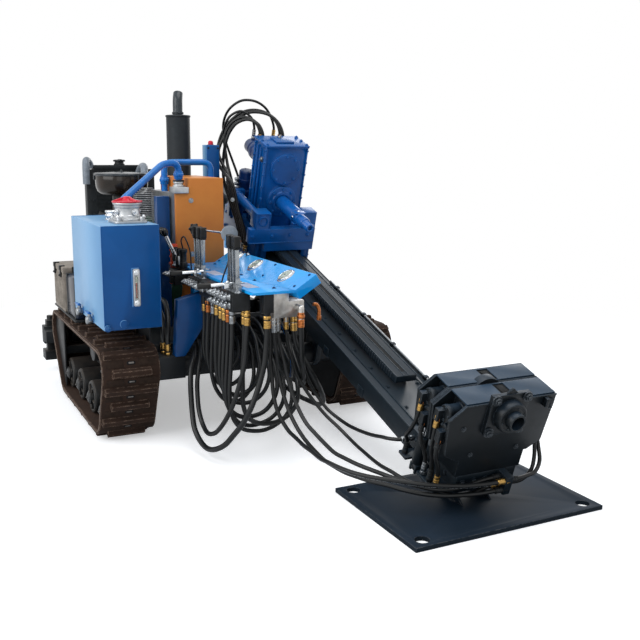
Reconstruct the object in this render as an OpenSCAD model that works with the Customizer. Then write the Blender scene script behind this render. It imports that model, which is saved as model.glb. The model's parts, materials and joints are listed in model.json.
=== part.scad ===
// Horizontal directional drill on two tracks, with its mast set down at the front on an anchor plate.
// +X points forward along the machine, +Y to its left side, +Z up. Lengths are in millimetres.
// The origin is on the ground, below the middle of the whole machine.

/* [Overall places] */
// Front edge of the anchor plate, from the machine's own zero between the tracks
front_x = 2407; // [2380:1:2440]
// Rear face of the rear bar's bumper strip, behind the zero
rear_reach = 1190; // [1180:1:1215]
// Centre line of the mast, left of the machine's zero
mast_y = 446; // [440:1:450]

/* [Tracks] */
// Distance between the centre lines of the two tracks
track_gauge = 1410; // [1400:1:1440]
// Width of each belt
belt_w = 300; // [280:1:310]
// Thickness of the belt
belt_t = 25; // [20:1:28]
// Height of the lugs on the belt
lug_h = 25; // [20:1:28]
// Length of a lug's foot along the belt
lug_foot = 46; // [36:1:56]
// Length of a lug's top along the belt
lug_top = 28; // [20:1:34]
// Width of the longer lugs
lug_w_long = 276; // [240:1:290]
// Width of the shorter lugs
lug_w_short = 200; // [150:1:230]
// Number of lugs on each belt
lug_count = 34; // [30:2:38]
// Radius of the idler, the sprocket and the rollers
wheel_r = 95; // [85:1:100]
// Place of the rearmost bottom roller, behind the zero
rollers_back = 405; // [390:1:420]
// Distance from one bottom roller to the next
roller_pitch = 302; // [290:1:310]
// Place of the front idler
idler_x = 614; // [600:1:630]
// Place of the rear sprocket, behind the zero
sprocket_back = 597; // [580:1:610]
// Height of the idler and the sprocket above the bottom rollers
idler_rise = 250; // [235:1:255]

/* [Chassis] */
// Underside of the chassis
chassis_z = 380; // [375:1:390]
// Height of the chassis
chassis_h = 115; // [100:1:118]
// Front end of the chassis
chassis_front = 560; // [540:1:570]
// Rear end of the chassis, behind the zero
chassis_back = 950; // [940:1:960]
// Left edge of the chassis deck
deck_left = 250; // [230:1:260]
// Radius of the tube that carries the mast
pivot_r = 57; // [50:1:60]
// Place of the tube that carries the mast
pivot_x = 650; // [640:1:660]
// Height of the tube that carries the mast
pivot_z = 388; // [384:1:392]

/* [Hydraulic tank] */
// Front face of the hydraulic tank
tank_front = 788; // [760:1:800]
// Length of the hydraulic tank
tank_l = 724; // [640:1:726]
// Width of the hydraulic tank
tank_w = 292; // [260:1:294]
// Height of the hydraulic tank
tank_h = 520; // [450:1:560]
// Underside of the hydraulic tank
tank_z = 642; // [630:1:655]

/* [Cooler] */
// Front face of the orange shroud
shroud_front = 200; // [190:1:210]
// Length of the shroud
shroud_l = 500; // [440:1:505]
// Right side of the shroud's front panel
shroud_right = 286; // [280:1:292]
// Width of the shroud's front panel
shroud_w = 291; // [270:1:295]
// Top of the shroud
shroud_top = 1370; // [1340:1:1385]
// Thickness of the cooler's core
core_t = 62; // [50:1:66]

/* [Console] */
// Rear end of the console
console_back = 205; // [203:1:230]
// Length of the console
console_l = 1130; // [1100:1:1150]
// Height of the console's flat deck
console_z = 880; // [870:1:890]
// Width of the flat deck
console_w = 226; // [210:1:240]
// Length of the gauge panel's slope
slope_l = 136; // [120:1:140]
// Tilt of the gauge panel
slope_deg = 32; // [25:1:35]

/* [Mast] */
// Tilt of the mast as it is set up, nose down
mast_tilt = 18; // [18:0.1:18]
// Place of the gearbox's front face on the spindle's line
hub_x = 37; // [36:1:38]
// Height of the gearbox's front face on the spindle's line
hub_z = 1219; // [1218:1:1222]
// Width of the mast
mast_w = 310; // [300:1:314]
// Depth of the mast
mast_h = 110; // [95:1:112]
// Top face of the mast, below the spindle's line
mast_drop = 325; // [322:1:328]
// Rear end of the mast, behind the hub
mast_back = 1130; // [1080:1:1135]
// Front end of the mast
mast_front = 2010; // [1990:1:2020]
// Width of the double rack
rack_w = 118; // [100:1:124]
// Front end of the rack
rack_front = 1676; // [1600:1:1700]

/* [Carriage] */
// Width of the gearbox
gearbox_w = 270; // [250:1:276]
// Length of the gearbox
gearbox_l = 190; // [170:1:200]
// Top of the gearbox above the spindle's line
gearbox_top = 340; // [320:1:350]
// Radius of the spindle
spindle_r = 43; // [38:1:46]
// Reach of the spindle's tip in front of the gearbox
spindle_tip = 443; // [430:1:450]
// Radius of the spindle's threaded pin
pin_r = 27; // [22:1:30]

/* [Vises] */
// Rear face of the swinging vise
vise_back = 2130; // [2126:1:2136]
// Length of the swinging vise
wrench_l = 111; // [100:1:112]
// Running gap between the two vises
vise_gap = 6; // [5:1:8]
// Length of the fixed vise
clamp_l = 135; // [125:1:140]
// Widest half of the vise plates
vise_half = 270; // [250:1:275]
// Radius of the guide bush's bore
guide_r = 31.5; // [28:0.5:34]
// Radius of the ring that the swinging vise turns on
ring_r = 75; // [70:1:80]

/* [Anchor plate] */
// Length of the anchor plate
plate_l = 680; // [660:1:700]
// Width of the anchor plate
plate_w = 966; // [940:1:970]
// Thickness of the anchor plate
plate_t = 20; // [16:1:24]
// Distance of the stake holes from the plate's front and rear edges
stake_end = 56.5; // [50:0.5:70]
// Distance of the stake holes from the plate's sides
stake_side = 64.5; // [50:0.5:80]
// Radius of the stake holes
stake_r = 31; // [26:1:34]

/* [Hidden] */
$fn = 48;

run_gap = 0.05;
seat_gap = 0.3;
x_mid = (front_x - rear_reach) / 2;
left_reach = mast_y + plate_w / 2;
track_side = track_gauge / 2 + belt_w / 2;
y_mid = (left_reach - track_side) / 2;

belt_r = wheel_r + seat_gap + belt_t;
roller_z = lug_h + belt_r;
idler_z = roller_z + idler_rise;
// Corner wheels of a track, seen from its side: place, height
corners = [[-rollers_back, roller_z], [3 * roller_pitch - rollers_back, roller_z],
  [idler_x, idler_z], [-sprocket_back, idler_z]];
rail_in = 130;
rail_t = 20;
wheel_w = 190;

// Everything stands in the machine's own zero, and this moves it to the shared origin.
module placed() {
  translate([-x_mid, -y_mid, 0]) children();
}

module box(low, high) {
  translate(low) cube(high - low);
}

module rod_x(x0, x1, y, z, r) {
  translate([x0, y, z]) rotate([0, 90, 0]) cylinder(r = r, h = x1 - x0);
}

module rod_y(x, y0, y1, z, r) {
  translate([x, y0, z]) rotate([-90, 0, 0]) cylinder(r = r, h = y1 - y0);
}

// The mast's own frame: x runs down the spindle's line from the gearbox's face, z is square to it.
module on_mast() {
  placed() translate([hub_x, mast_y, hub_z]) rotate([0, mast_tilt, 0]) children();
}

function next(i) = (i + 1) % len(corners);
function side(i) = corners[next(i)] - corners[i];
function side_turn(i) = atan2(side(i)[1], side(i)[0]);
function corner_turn(i) = (side_turn(next(i)) - side_turn(i) + 360) % 360;
function arc_l(i) = corner_turn(i) * PI / 180 * belt_r;
function lap(i) = norm(side(i)) + arc_l(i);
function lap_start(i) = i == 0 ? 0 : lap_start(i - 1) + lap(i - 1);
belt_l = lap_start(3) + lap(3);
function lap_of(d, i = 3) = d >= lap_start(i) ? i : lap_of(d, i - 1);

// The belt's outline at radius r round its corner wheels, in steps of at most 8 degrees.
function belt_points(r) = [for (i = [0 : 3]) let (steps = ceil(corner_turn(i) / 8))
  for (k = [0 : steps]) let (a = side_turn(i) - 90 + corner_turn(i) * k / steps)
    corners[next(i)] + r * [cos(a), sin(a)]];

// Stands a shape at distance d along the belt's outer face, with its own -Y pointing outwards.
module on_belt(d) {
  i = lap_of(d);
  along = d - lap_start(i);
  straight = norm(side(i));
  if (along <= straight)
    translate(corners[i]) rotate(side_turn(i)) translate([along, -belt_r]) children();
  else
    translate(corners[next(i)])
      rotate(side_turn(i) + (along - straight) / belt_r * 180 / PI)
        translate([0, -belt_r]) children();
}

module lug_row(first, w) {
  linear_extrude(height = w, center = true)
    for (i = [first : 2 : lug_count - 1])
      on_belt((i + 0.5) * belt_l / lug_count)
        polygon([[-lug_foot / 2, 6], [-lug_top / 2, -lug_h], [lug_top / 2, -lug_h], [lug_foot / 2, 6]]);
}

module track(y) {
  color("#3a2f2a") placed() translate([0, y, 0]) rotate([90, 0, 0]) {
    linear_extrude(height = belt_w, center = true)
      difference() {
        polygon(belt_points(belt_r));
        polygon(belt_points(wheel_r + seat_gap));
      }
    lug_row(0, lug_w_long);
    lug_row(1, lug_w_short);
  }
}

// The side rail of a track: an inner plate that holds every axle, and a beam above the rollers.
module track_frame(y, way) {
  color("#23272b") placed() translate([0, y, 0]) mirror([0, way > 0 ? 1 : 0, 0]) {
    translate([0, rail_in + rail_t, 0]) rotate([90, 0, 0])
      linear_extrude(height = rail_t) polygon(belt_points(wheel_r - 12));
    box([-400, 20, roller_z + 105], [420, rail_in, roller_z + 175]);
    translate([0, -118, 0]) rotate([90, 0, 0]) linear_extrude(height = 12) intersection() {
      polygon(belt_points(wheel_r - 6));
      translate([-sprocket_back - 200, 0]) square([sprocket_back - 220, 600]);
    }
    box([-470, -118, roller_z + 115], [-430, rail_in, roller_z + 165]);
  }
}

module wheel(x, z, r, w) {
  rod_y(x, -w / 2, w / 2, z, r);
  rod_y(x, -w / 2 - 22, -w / 2, z, r * 0.42);
  rod_y(x, w / 2, rail_in, z, r * 0.3);
}

module track_wheels(y, way) {
  color("#1d2023") placed() translate([0, y, 0]) mirror([0, way > 0 ? 1 : 0, 0]) {
    for (i = [0 : 3]) wheel(i * roller_pitch - rollers_back, roller_z, wheel_r, wheel_w);
    wheel(idler_x, idler_z, wheel_r, wheel_w);
    translate([-sprocket_back, 0, idler_z]) {
      rod_y(0, -60, 60, 0, wheel_r);
      rod_y(0, 60, rail_in, 0, wheel_r * 0.7);
    }
    translate([240, -70, idler_z + 32]) rod_y(0, 0, 200, 0, 30);
    translate([240, -95, idler_z + 32]) rod_y(0, 0, 120, 0, 62);
  }
}

rail_face = track_gauge / 2 - rail_in - rail_t;
module chassis_frame() {
  color("#1c2126") placed() {
    box([-chassis_back, -rail_face, chassis_z], [chassis_front, deck_left, chassis_z + chassis_h]);
    box([-760, deck_left, chassis_z], [-640, rail_face, chassis_z + 100]);
    box([chassis_front, -rail_face, chassis_z - 40], [720, -414, chassis_z + 80]);
    box([chassis_front, -414, chassis_z - 20], [pivot_x - pivot_r - seat_gap, deck_left, chassis_z + 60]);
    box([100, -rail_face, chassis_z + chassis_h], [540, -rail_face + 9, tank_z + 200]);
    box([-600, -track_side + 5, tank_z - 90], [60, -rail_face + 9, tank_z - 80]);
    box([-600, -rail_face, chassis_z + chassis_h], [60, -rail_face + 9, tank_z - 90]);
    box([508, -395, deck_z], [520, 225, 620]);
    for (i = [0 : 8]) rod_x(520, 550, 30 * i - 115, i % 2 == 0 ? 545 : 590, 14);
    rod_x(520, 550, 195, 545, 17);
    rod_x(520, 550, 165, 600, 13);
    for (y = [-310, -360]) rod_x(520, 550, y, 520, 17);
    translate([500, 190, chassis_z - 30]) cylinder(r = 16, h = 30);
    for (p = [[660, -490], [610, -500]]) translate([p[0], p[1], chassis_z + 80]) cylinder(r = 16, h = 20);
  }
}

module pivot_tube() {
  color("#23272b") placed() rod_y(pivot_x, -414, rail_face, pivot_z, pivot_r);
}

leg_y = track_side - 50;
leg_x = -1105;
leg_half = 30;
leg_hole = leg_half + seat_gap;
hitch_r = 22;
module rear_bar() {
  color("#1c2126") placed() {
    difference() {
      union() {
        box([-1060, -track_side, 220], [-980, track_side, 300]);
        for (y = [-leg_y, leg_y]) box([leg_x - 45, y - 50, 200], [leg_x + 45, y + 50, 320]);
      }
      for (y = [-leg_y, leg_y])
        box([leg_x - leg_hole, y - leg_hole, 190], [leg_x + leg_hole, y + leg_hole, 330]);
    }
    for (y = [-250, 200]) box([-980, y, 220], [-chassis_back, y + 50, chassis_z + 100]);
    difference() {
      box([-rear_reach, -60, 235], [-1060, 60, 285]);
      translate([40 - rear_reach, 0, 234]) cylinder(r = hitch_r, h = 52);
    }
  }
}

module stabiliser(y) {
  color("#23272b") placed() {
    box([leg_x - leg_half, y - leg_half, 150], [leg_x + leg_half, y + leg_half, 360]);
    box([leg_x - 60, y - 50, 86], [leg_x + 60, y + 50, 150]);
    translate([leg_x, y, 360]) cylinder(r = 22, h = 30);
  }
}

tank_y = -rail_face - seat_gap - tank_w / 2;
module hydraulic_tank() {
  color("#1659a8") placed() {
    box([tank_front - tank_l, tank_y - tank_w / 2, tank_z],
      [tank_front, tank_y + tank_w / 2, tank_z + tank_h]);
    rod_x(tank_front, tank_front + 14, tank_y - 49, tank_z + 30, 20);
    box([tank_front, tank_y - 3, tank_z + 115], [tank_front + 20, tank_y + 33, tank_z + 310]);
  }
}

tank_top = tank_z + tank_h;
module return_filter() {
  color("#b9bdc0") placed() translate([tank_front - 188, tank_y + 36, tank_top]) {
    box([-85, -85, 0], [85, 85, 12]);
    translate([0, 0, 12]) cylinder(r = 66, h = 92);
    translate([0, 0, 104]) cylinder(r = 74, h = 12);
  }
}

module tank_breather() {
  color("#c9cdd1") placed() translate([tank_front - 388, tank_y + 11, tank_top]) {
    cylinder(r = 30, h = 18);
    translate([0, 0, 18]) cylinder(r = 42, h = 34);
  }
}

deck_z = chassis_z + chassis_h;
fan_y = -330;
fan_z = 1000;
module engine_block() {
  color("#1f4a35") placed() difference() {
    union() {
      box([-700, -480, deck_z + 40], [-160, -180, 870]);
      box([-680, -460, 870], [-320, -200, 1090]);
      box([-620, -540, deck_z], [-560, -120, deck_z + 60]);
      box([-260, -540, deck_z], [-200, -185, deck_z + 60]);
      rod_x(-740, -700, fan_y, fan_z - 180, 90);
      rod_x(-760, -680, fan_y, fan_z, 45);
      rod_x(-160, -100, fan_y, 690, 170);
      rod_x(-100, -70, -440, 680, 16);
      rod_x(-100, -70, -400, 625, 16);
    }
    rod_x(-761, -700, fan_y, fan_z, 20 + run_gap);
  }
}

module fan() {
  color("#1b1c1e") placed() translate([-800, fan_y, fan_z]) {
    rod_x(-25, 25, 0, 0, 45);
    rod_x(25, 90, 0, 0, 20);
    for (i = [0 : 5]) rotate([i * 60, 0, 0]) translate([0, 0, 40]) rotate([0, 0, 35])
      box([-4, -30, 0], [4, 30, 165]);
  }
}

module radiator() {
  color("#17191b") placed() {
    box([-940, -560, deck_z], [-870, -100, 1395]);
    box([-945, -510, 1395], [-865, -150, 1423]);
    translate([-905, -330, 1423]) cylinder(r = 30, h = 25);
  }
}

module air_cleaner() {
  color("#1a1a1b") placed() translate([-400, -442, 0]) {
    translate([0, 0, 1090]) cylinder(r = 60, h = 171);
    translate([0, 0, 1261]) cylinder(r = 150, h = 30);
    translate([0, 0, 1291]) cylinder(r = 162, h = 94);
  }
}

stack_x = -400;
stack_y = -70;
module exhaust_stack() {
  color("#202325") placed() {
    translate([stack_x, stack_y, 1010]) cylinder(r = 30, h = 190);
    translate([stack_x, stack_y, 1200]) cylinder(r = 76, h = 546);
    translate([stack_x, stack_y, 1746]) cylinder(r = 31, h = 140);
    box([stack_x - 40, -200, 980], [stack_x + 40, stack_y + 40, 1010]);
  }
}

shroud_z = 876;
core_y = -shroud_right;
module cooler_shroud() {
  color("#c9772b") placed() difference() {
    union() {
      box([shroud_front - shroud_l, core_y + core_t, shroud_z],
        [shroud_front - 20, core_y + shroud_w, shroud_top]);
      box([shroud_front - 20, core_y, shroud_z], [shroud_front, core_y + shroud_w, shroud_top]);
      box([shroud_front - shroud_l, -170, deck_z], [shroud_front - shroud_l + 60, -60, shroud_z]);
      box([shroud_front - 90, -170, deck_z], [shroud_front - 20, -60, shroud_z]);
    }
    box([shroud_front - 110, core_y - 1, 1285], [shroud_front + 1, core_y + 82, shroud_top + 1]);
  }
}

module cooler_core() {
  color("#b9bdc0") placed() {
    box([shroud_front - shroud_l, core_y, shroud_z + 24], [shroud_front - 20, core_y + core_t, 1285]);
    box([shroud_front - 80, core_y - 10, 1285], [shroud_front + 10, core_y + 78, 1320]);
    translate([shroud_front - 40, core_y + 34, 1320]) cylinder(r = 26, h = 30);
  }
}

module cooler_post() {
  color("#1659a8") placed() box([60, -372, deck_z], [120, -296, 1265]);
}

// A pipe along a list of points, with an elbow of balls at each point.
module pipe(points, r) {
  for (i = [0 : len(points) - 2]) {
    v = points[i + 1] - points[i];
    translate(points[i]) rotate([0, acos(v[2] / norm(v)), atan2(v[1], v[0])]) cylinder(r = r, h = norm(v));
  }
  for (i = [1 : len(points) - 2]) translate(points[i]) sphere(r = r + 2);
}

// Both return pipes run above the cooler: x, y, z of their bends
pipe_x = tank_front - 318;
pipe_y = tank_y + 89;
tank_pipe = [[pipe_x, pipe_y, tank_top], [pipe_x, pipe_y, 1260], [200, -350, 1455], [160, -252, 1455],
  [160, -252, 1350.3]];
shroud_pipe = [[-110, -255, 1285], [-110, -255, 1455], [-110, 40, 1455], [-110, 40, 1000]];
module return_pipes() {
  color("#1659a8") placed() {
    pipe(tank_pipe, 19);
    pipe(shroud_pipe, 19);
    box([-150, 5.3, 960], [-70, 70, 1000]);
  }
}

module battery_box() {
  color("#9a968f") placed() box([-560, -track_side + 5, tank_z - 80], [-250, -rail_face - 45, 830]);
}

module fuel_tank() {
  color("#1b2740") placed() box([-245, -track_side + 15, tank_z - 80], [40, -rail_face - 45, 800]);
}

module electric_box() {
  color("#1659a8") placed() {
    box([-300, 53, 1340], [-215, 136, 1560]);
    box([-285, 80, deck_z], [-235, 130, 1340]);
  }
}

panel_y = core_y + 6 + console_w;
module console() {
  color("#1a78d2") placed() {
    box([console_back, core_y + 6, console_z - 14], [console_back + console_l, panel_y, console_z]);
    translate([console_back, panel_y, console_z - 14]) rotate([slope_deg, 0, 0])
      box([0, 0, -38], [console_l, slope_l, 14]);
    box([700, -250, 620], [760, -200, console_z - 14]);
    box([330, -250, deck_z], [390, -200, console_z - 14]);
  }
}

module console_column() {
  color("#14509a") placed() translate([700, 0, 0]) rotate([90, 0, 90])
    linear_extrude(height = 60, center = true)
      polygon([[-469, chassis_z + 80], [-415, chassis_z + 80], [-250.3, 700], [-250.3, 810], [-451, 760]]);
}

module front_valve_bank() {
  color("#303336") placed() {
    box([1000, -345, 780], [1250, -255, console_z - 14]);
    for (x = [1020 : 50 : 1170]) translate([x, -318, 745]) cylinder(r = 14, h = 35);
    for (x = [1205, 1240]) translate([x, -268, 745]) cylinder(r = 14, h = 35);
    box([770, -345, 790], [945, -265, console_z - 14]);
    for (p = [[790, -328], [835, -322], [880, -310], [925, -305]])
      translate([p[0], p[1], 745]) cylinder(r = 15, h = 45);
    box([1270, -215, 775], [1325, -165, console_z - 14]);
    translate([1300, -190, 735]) cylinder(r = 17, h = 40);
  }
}

module rear_valve_bank() {
  color("#303336") placed() {
    box([590, -345, 812], [756, -255, console_z - 14]);
    box([236, -345, 780], [346, -255, console_z - 14]);
  }
}

module lever(x, y, h) {
  translate([x, y, console_z - 14]) cylinder(r = 6, h = h, $fn = 16);
  translate([x, y, console_z - 14 + h]) cylinder(r = 14, h = 50, $fn = 24);
}

module front_levers() {
  color("#c9cdd1") placed() for (i = [0 : 3]) lever(1124 + i * 36, -310, 220);
}

module rear_levers() {
  color("#c9cdd1") placed() {
    for (i = [0 : 3]) lever(630 + i * 34, -310, 220);
    for (x = [254, 296]) translate([x, -310, console_z - 12]) rotate([18, -5, 0]) {
      cylinder(r = 6, h = 218, $fn = 16);
      translate([0, 0, 215]) sphere(r = 18, $fn = 24);
    }
  }
}

module manifold() {
  color("#b9bdc0") placed() {
    box([1140, -150, 740], [1290, -70, console_z - 14]);
    box([1200, -70, 740], [1290, 10, 820]);
    for (p = [[1165, -110], [1205, -110], [1245, -110], [1270, -140], [1222, -55], [1225, -15], [1268, -35]])
      translate([p[0], p[1], 705]) cylinder(r = 14, h = 35);
    rod_x(1290, 1340, -30, 790, 14);
    translate([1340, -30, 790]) sphere(r = 16);
    translate([1340, -30, 735]) cylinder(r = 16, h = 55);
  }
}

half = mast_w / 2;
rack_top = mast_drop - 65;
// The mast turns on the tube: the tube's place in the mast's own frame.
pivot_s = (pivot_x - hub_x) * cos(mast_tilt) - (pivot_z - hub_z) * sin(mast_tilt);
pivot_n = (pivot_x - hub_x) * sin(mast_tilt) + (pivot_z - hub_z) * cos(mast_tilt);
mast_low = -mast_drop - mast_h;
lift_s = -350;
lift_n = mast_low - 50;
wrench_s = vise_back + 45;
wrench_y = -215;
wrench_n = -400;
eye_n = -165;
clamp_front = vise_back + wrench_l + vise_gap + clamp_l;
base_low = -400;
module mast_beam() {
  color("#1b232b") on_mast() {
    difference() {
      union() {
        box([-mast_back, -half, mast_low], [mast_front, half, -mast_drop]);
        for (y = [-112, 100]) box([-mast_back, y, -mast_drop], [mast_front, y + 12, -mast_drop + 6]);
        box([mast_front, -half, base_low], [clamp_front, half, -310]);
        for (y = [-90, 60]) {
          box([pivot_s - 75, y, pivot_n - 20], [pivot_s + 75, y + 30, mast_low]);
          translate([pivot_s, y, pivot_n]) rotate([-90, 0, 0]) cylinder(r = 75, h = 30);
        }
        for (y = [-60, 40]) box([lift_s - 45, y, lift_n - 30], [lift_s + 45, y + 20, mast_low]);
        rod_y(lift_s, -60, 60, lift_n, 16);
        box([plate_s - 30, -60, plate_n], [plate_s + 30, 60, base_low]);
        rod_y(plate_s, -60, 60, plate_n, 30);
        for (s = [wrench_s - 24, wrench_s + 12.5])
          box([s, wrench_y - 20, wrench_n - 20], [s + 11.5, -half, wrench_n + 20]);
        rod_x(wrench_s - 24, wrench_s + 24, wrench_y, wrench_n, 10);
        box([clamp_front, 60, base_low], [clamp_front + 68, 95, -310]);
        for (way = [-1, 1]) for (p = way < 0 ? [[2060, 2120], [2215, 2358]] : [[2060, 2120], [2215, 2260]])
          box([p[0], way < 0 ? -240 : half, base_low], [p[1], way < 0 ? -half : 240, base_low + 12]);
        for (p = [[2086, -225], [2242, -225], [2292, -225], [2340, -225], [2086, 225], [2242, 225]])
          translate([p[0], p[1], base_low + 12]) cylinder(r = 13, h = 28);
        rod_y(2035, -185, -half, -350, 13);
      }
      rod_y(pivot_s, -100, 100, pivot_n, pivot_r + run_gap);
      rod_y(plate_s, -61, 61, plate_n, 16 + run_gap);
    }
  }
}

module rack() {
  color("#20262c") on_mast() {
    box([-mast_back + 60, -35, -mast_drop], [rack_front - 40, 35, -rack_top - 35]);
    box([-mast_back + 60, -rack_w / 2, -rack_top - 35], [rack_front, rack_w / 2, -rack_top]);
  }
}

// The hose elbows on both sides of a vise whose middle is at s
module vise_elbows(s) {
  for (way = [-1, 1]) {
    box([s - 34, way < 0 ? -276 : 248, -60], [s - 6, way < 0 ? -248 : 276, -6]);
    box([s + 6, way < 0 ? -276 : 248, -140], [s + 34, way < 0 ? -248 : 276, -86]);
  }
}

// Outline of a vise plate: across, up
vise_outline = [[vise_half - 8, 50], [250, -185], [185, -225], [-185, -225], [-250, -185],
  [-vise_half, -10], [-200, 50]];
module vise_plate(s, t) {
  translate([s, 0, 0]) rotate([90, 0, 90]) linear_extrude(height = t) polygon(vise_outline);
}

clamp_back = vise_back + wrench_l + vise_gap;
module clamp_vise() {
  color("#151b21") on_mast() difference() {
    union() {
      vise_plate(clamp_back, 12);
      vise_plate(clamp_front - 12, 12);
      box([clamp_back, -170, -310], [clamp_front, 170, 50]);
      box([clamp_front, -95, -95], [clamp_front + 20, 95, 95]);
      rod_x(clamp_front + 20, clamp_front + 62, 0, 0, 67);
      rod_x(clamp_front + 62, clamp_front + 95, 0, 0, 40);
      rod_x(clamp_back - 40, clamp_back, 0, 0, ring_r);
      for (way = [-1, 1]) for (n = [-100, -20]) translate([clamp_back + clamp_l / 2, way * 170, n])
        rotate([-90 * way, 0, 0]) cylinder(r = 36, h = 78);
      vise_elbows(clamp_back + clamp_l / 2);
    }
    rod_x(clamp_back - 41, clamp_front + 96, 0, 0, guide_r);
  }
}

module breakout_vise() {
  color("#151b21") on_mast() difference() {
    union() {
      vise_plate(vise_back, 12);
      vise_plate(vise_back + wrench_l - 12, 12);
      box([vise_back, -170, -225], [vise_back + wrench_l, 170, 50]);
      for (way = [-1, 1]) for (n = [-100, -20]) translate([vise_back + wrench_l / 2, way * 170, n])
        rotate([-90 * way, 0, 0]) cylinder(r = 36, h = 78);
      rod_x(vise_back, vise_back + wrench_l, wrench_y, eye_n, 10);
      vise_elbows(vise_back + wrench_l / 2);
    }
    rod_x(vise_back - 1, vise_back + wrench_l + 1, 0, 0, 45);
    rod_x(vise_back + wrench_l - 40, vise_back + wrench_l + 1, 0, 0, ring_r + run_gap);
  }
}

// A hydraulic cylinder lies along +X from its barrel's eye, and its pins lie along Y.
module ram_barrel(r, l, eye, w, bore, rod) {
  difference() {
    union() {
      rod_y(0, -w / 2, w / 2, 0, eye);
      box([0, -w / 2, -eye * 0.6], [eye + 5, w / 2, eye * 0.6]);
      rod_x(eye + 5, l, 0, 0, r);
    }
    rod_y(0, -w / 2 - 1, w / 2 + 1, 0, bore);
    rod_x(eye + 8, l + 1, 0, 0, rod + run_gap);
  }
}

// The rod's eye has room round its pin, because the cylinder is opened there.
module ram_rod(span, l, eye, w, bore, rod) {
  difference() {
    union() {
      rod_x(span - l, span, 0, 0, rod);
      rod_y(span, -w / 2, w / 2, 0, eye);
    }
    rod_y(span, -w / 2 - 1, w / 2 + 1, 0, bore);
  }
}

module along_wrench() {
  on_mast() translate([wrench_s, wrench_y, wrench_n]) rotate([-90, 0, 0]) rotate([0, 0, -90]) children();
}

wrench_span = eye_n - wrench_n;
module breakout_barrel() {
  color("#101214") along_wrench() ram_barrel(26, 165, 20, 24, 10 + run_gap, 13);
}

module breakout_rod() {
  color("#c9cdd1") along_wrench() ram_rod(wrench_span, 195, 20, 24, 16, 13);
}

base_top = -195;
module carriage_base() {
  color("#1259a8") on_mast() {
    box([-480, -165, base_top - 55], [195, 165, base_top]);
    for (y = [-155, 120]) for (s = [[-470, -410], [-300, 140]])
      box([s[0], y, -mast_drop + seat_gap], [s[1], y + 35, base_top - 55]);
    for (way = [-1, 1])
      box([-460, way > 0 ? 162 : -184, -mast_drop - 60], [120, way > 0 ? 184 : -162, base_top]);
    box([150, -270, base_top], [195, 165, base_top + 90]);
    box([100, -235, base_top + 90], [190, -140, base_top + 190]);
    box([100, 75, base_top + 90], [190, 165, base_top + 190]);
    rod_x(-250, 100, -190, base_top + 140, 30);
    box([-290, -235, base_top], [-250, -140, base_top + 175]);
    box([-150, -225, -360], [70, -184, -345]);
    for (i = [0 : 3]) translate([i * 40 - 120, -204, -345]) cylinder(r = 14, h = 15);
    for (y = [-120, -60]) translate([-455, y, base_top]) cylinder(r = 12, h = 25);
  }
}

module gearbox() {
  color("#0f56a3") on_mast() difference() {
    union() {
      box([-gearbox_l, -gearbox_w / 2, base_top], [0, gearbox_w / 2, gearbox_top]);
      box([-gearbox_l - 8, -gearbox_w / 2 - 8, gearbox_top], [8, gearbox_w / 2 + 8, gearbox_top + 12]);
      rod_x(0, 14, 0, 205, 100);
      rod_x(0, 16, 0, 0, 98);
    }
    rod_x(-80, 17, 0, 0, spindle_r + run_gap);
  }
}

module rotary_motors() {
  color("#0f3f7c") on_mast() for (y = [-68, 68]) {
    rod_x(-gearbox_l - 120, -gearbox_l, y, 225, 60);
    rod_x(-gearbox_l - 230, -gearbox_l - 120, y, 225, 46);
    for (x = [-45, -95]) translate([x - gearbox_l, y, 270]) cylinder(r = 14, h = 30);
    translate([-gearbox_l - 195, y, 260]) cylinder(r = 11, h = 40);
  }
}

module feed_motors() {
  color("#0d2f5e") on_mast() for (way = [-1, 1]) translate([-360, way * 98, base_top]) {
    cylinder(r = 62, h = 150);
    translate([0, 0, 150]) cylinder(r = 48, h = 120);
  }
}

module spindle() {
  color("#1a5fb0") on_mast() {
    rod_x(-79, 250, 0, 0, spindle_r);
    rod_x(250, 375, 0, 0, spindle_r - 9);
    rod_x(375, spindle_tip, 0, 0, pin_r);
  }
}

hinge_x = 2050;
hinge_z = 92;
plate_s = (hinge_x - hub_x) * cos(mast_tilt) - (hinge_z - hub_z) * sin(mast_tilt);
plate_n = (hinge_x - hub_x) * sin(mast_tilt) + (hinge_z - hub_z) * cos(mast_tilt);
module anchor_plate() {
  color("#161c22") placed() {
    difference() {
      box([front_x - plate_l, mast_y - plate_w / 2, 0], [front_x, mast_y + plate_w / 2, plate_t]);
      for (x = [-1, 1]) for (y = [-1, 1])
        translate([front_x - plate_l / 2 + x * (plate_l / 2 - stake_end),
            mast_y + y * (plate_w / 2 - stake_side), -1])
          cylinder(r = stake_r, h = plate_t + 2);
    }
    for (y = [-86, 66]) {
      box([hinge_x - 40, mast_y + y, plate_t], [hinge_x + 40, mast_y + y + 20, hinge_z]);
      rod_y(hinge_x, mast_y + y, mast_y + y + 20, hinge_z, 40);
    }
    rod_y(hinge_x, mast_y - 66, mast_y + 66, hinge_z, 16);
  }
}

lift_x = 100;
lift_z = 410;
module lift_beam() {
  color("#1c2126") placed() {
    box([lift_x - 60, deck_left - 60, chassis_z - 90], [lift_x + 60, rail_face, chassis_z - 30]);
    box([lift_x - 60, deck_left - 60, chassis_z - 30], [lift_x + 60, deck_left, chassis_z]);
    for (y = [-60, 40]) {
      box([lift_x - 40, mast_y + y, chassis_z - 30], [lift_x + 40, mast_y + y + 20, lift_z]);
      rod_y(lift_x, mast_y + y, mast_y + y + 20, lift_z, 40);
    }
    rod_y(lift_x, mast_y - 60, mast_y + 60, lift_z, 16);
  }
}

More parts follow.
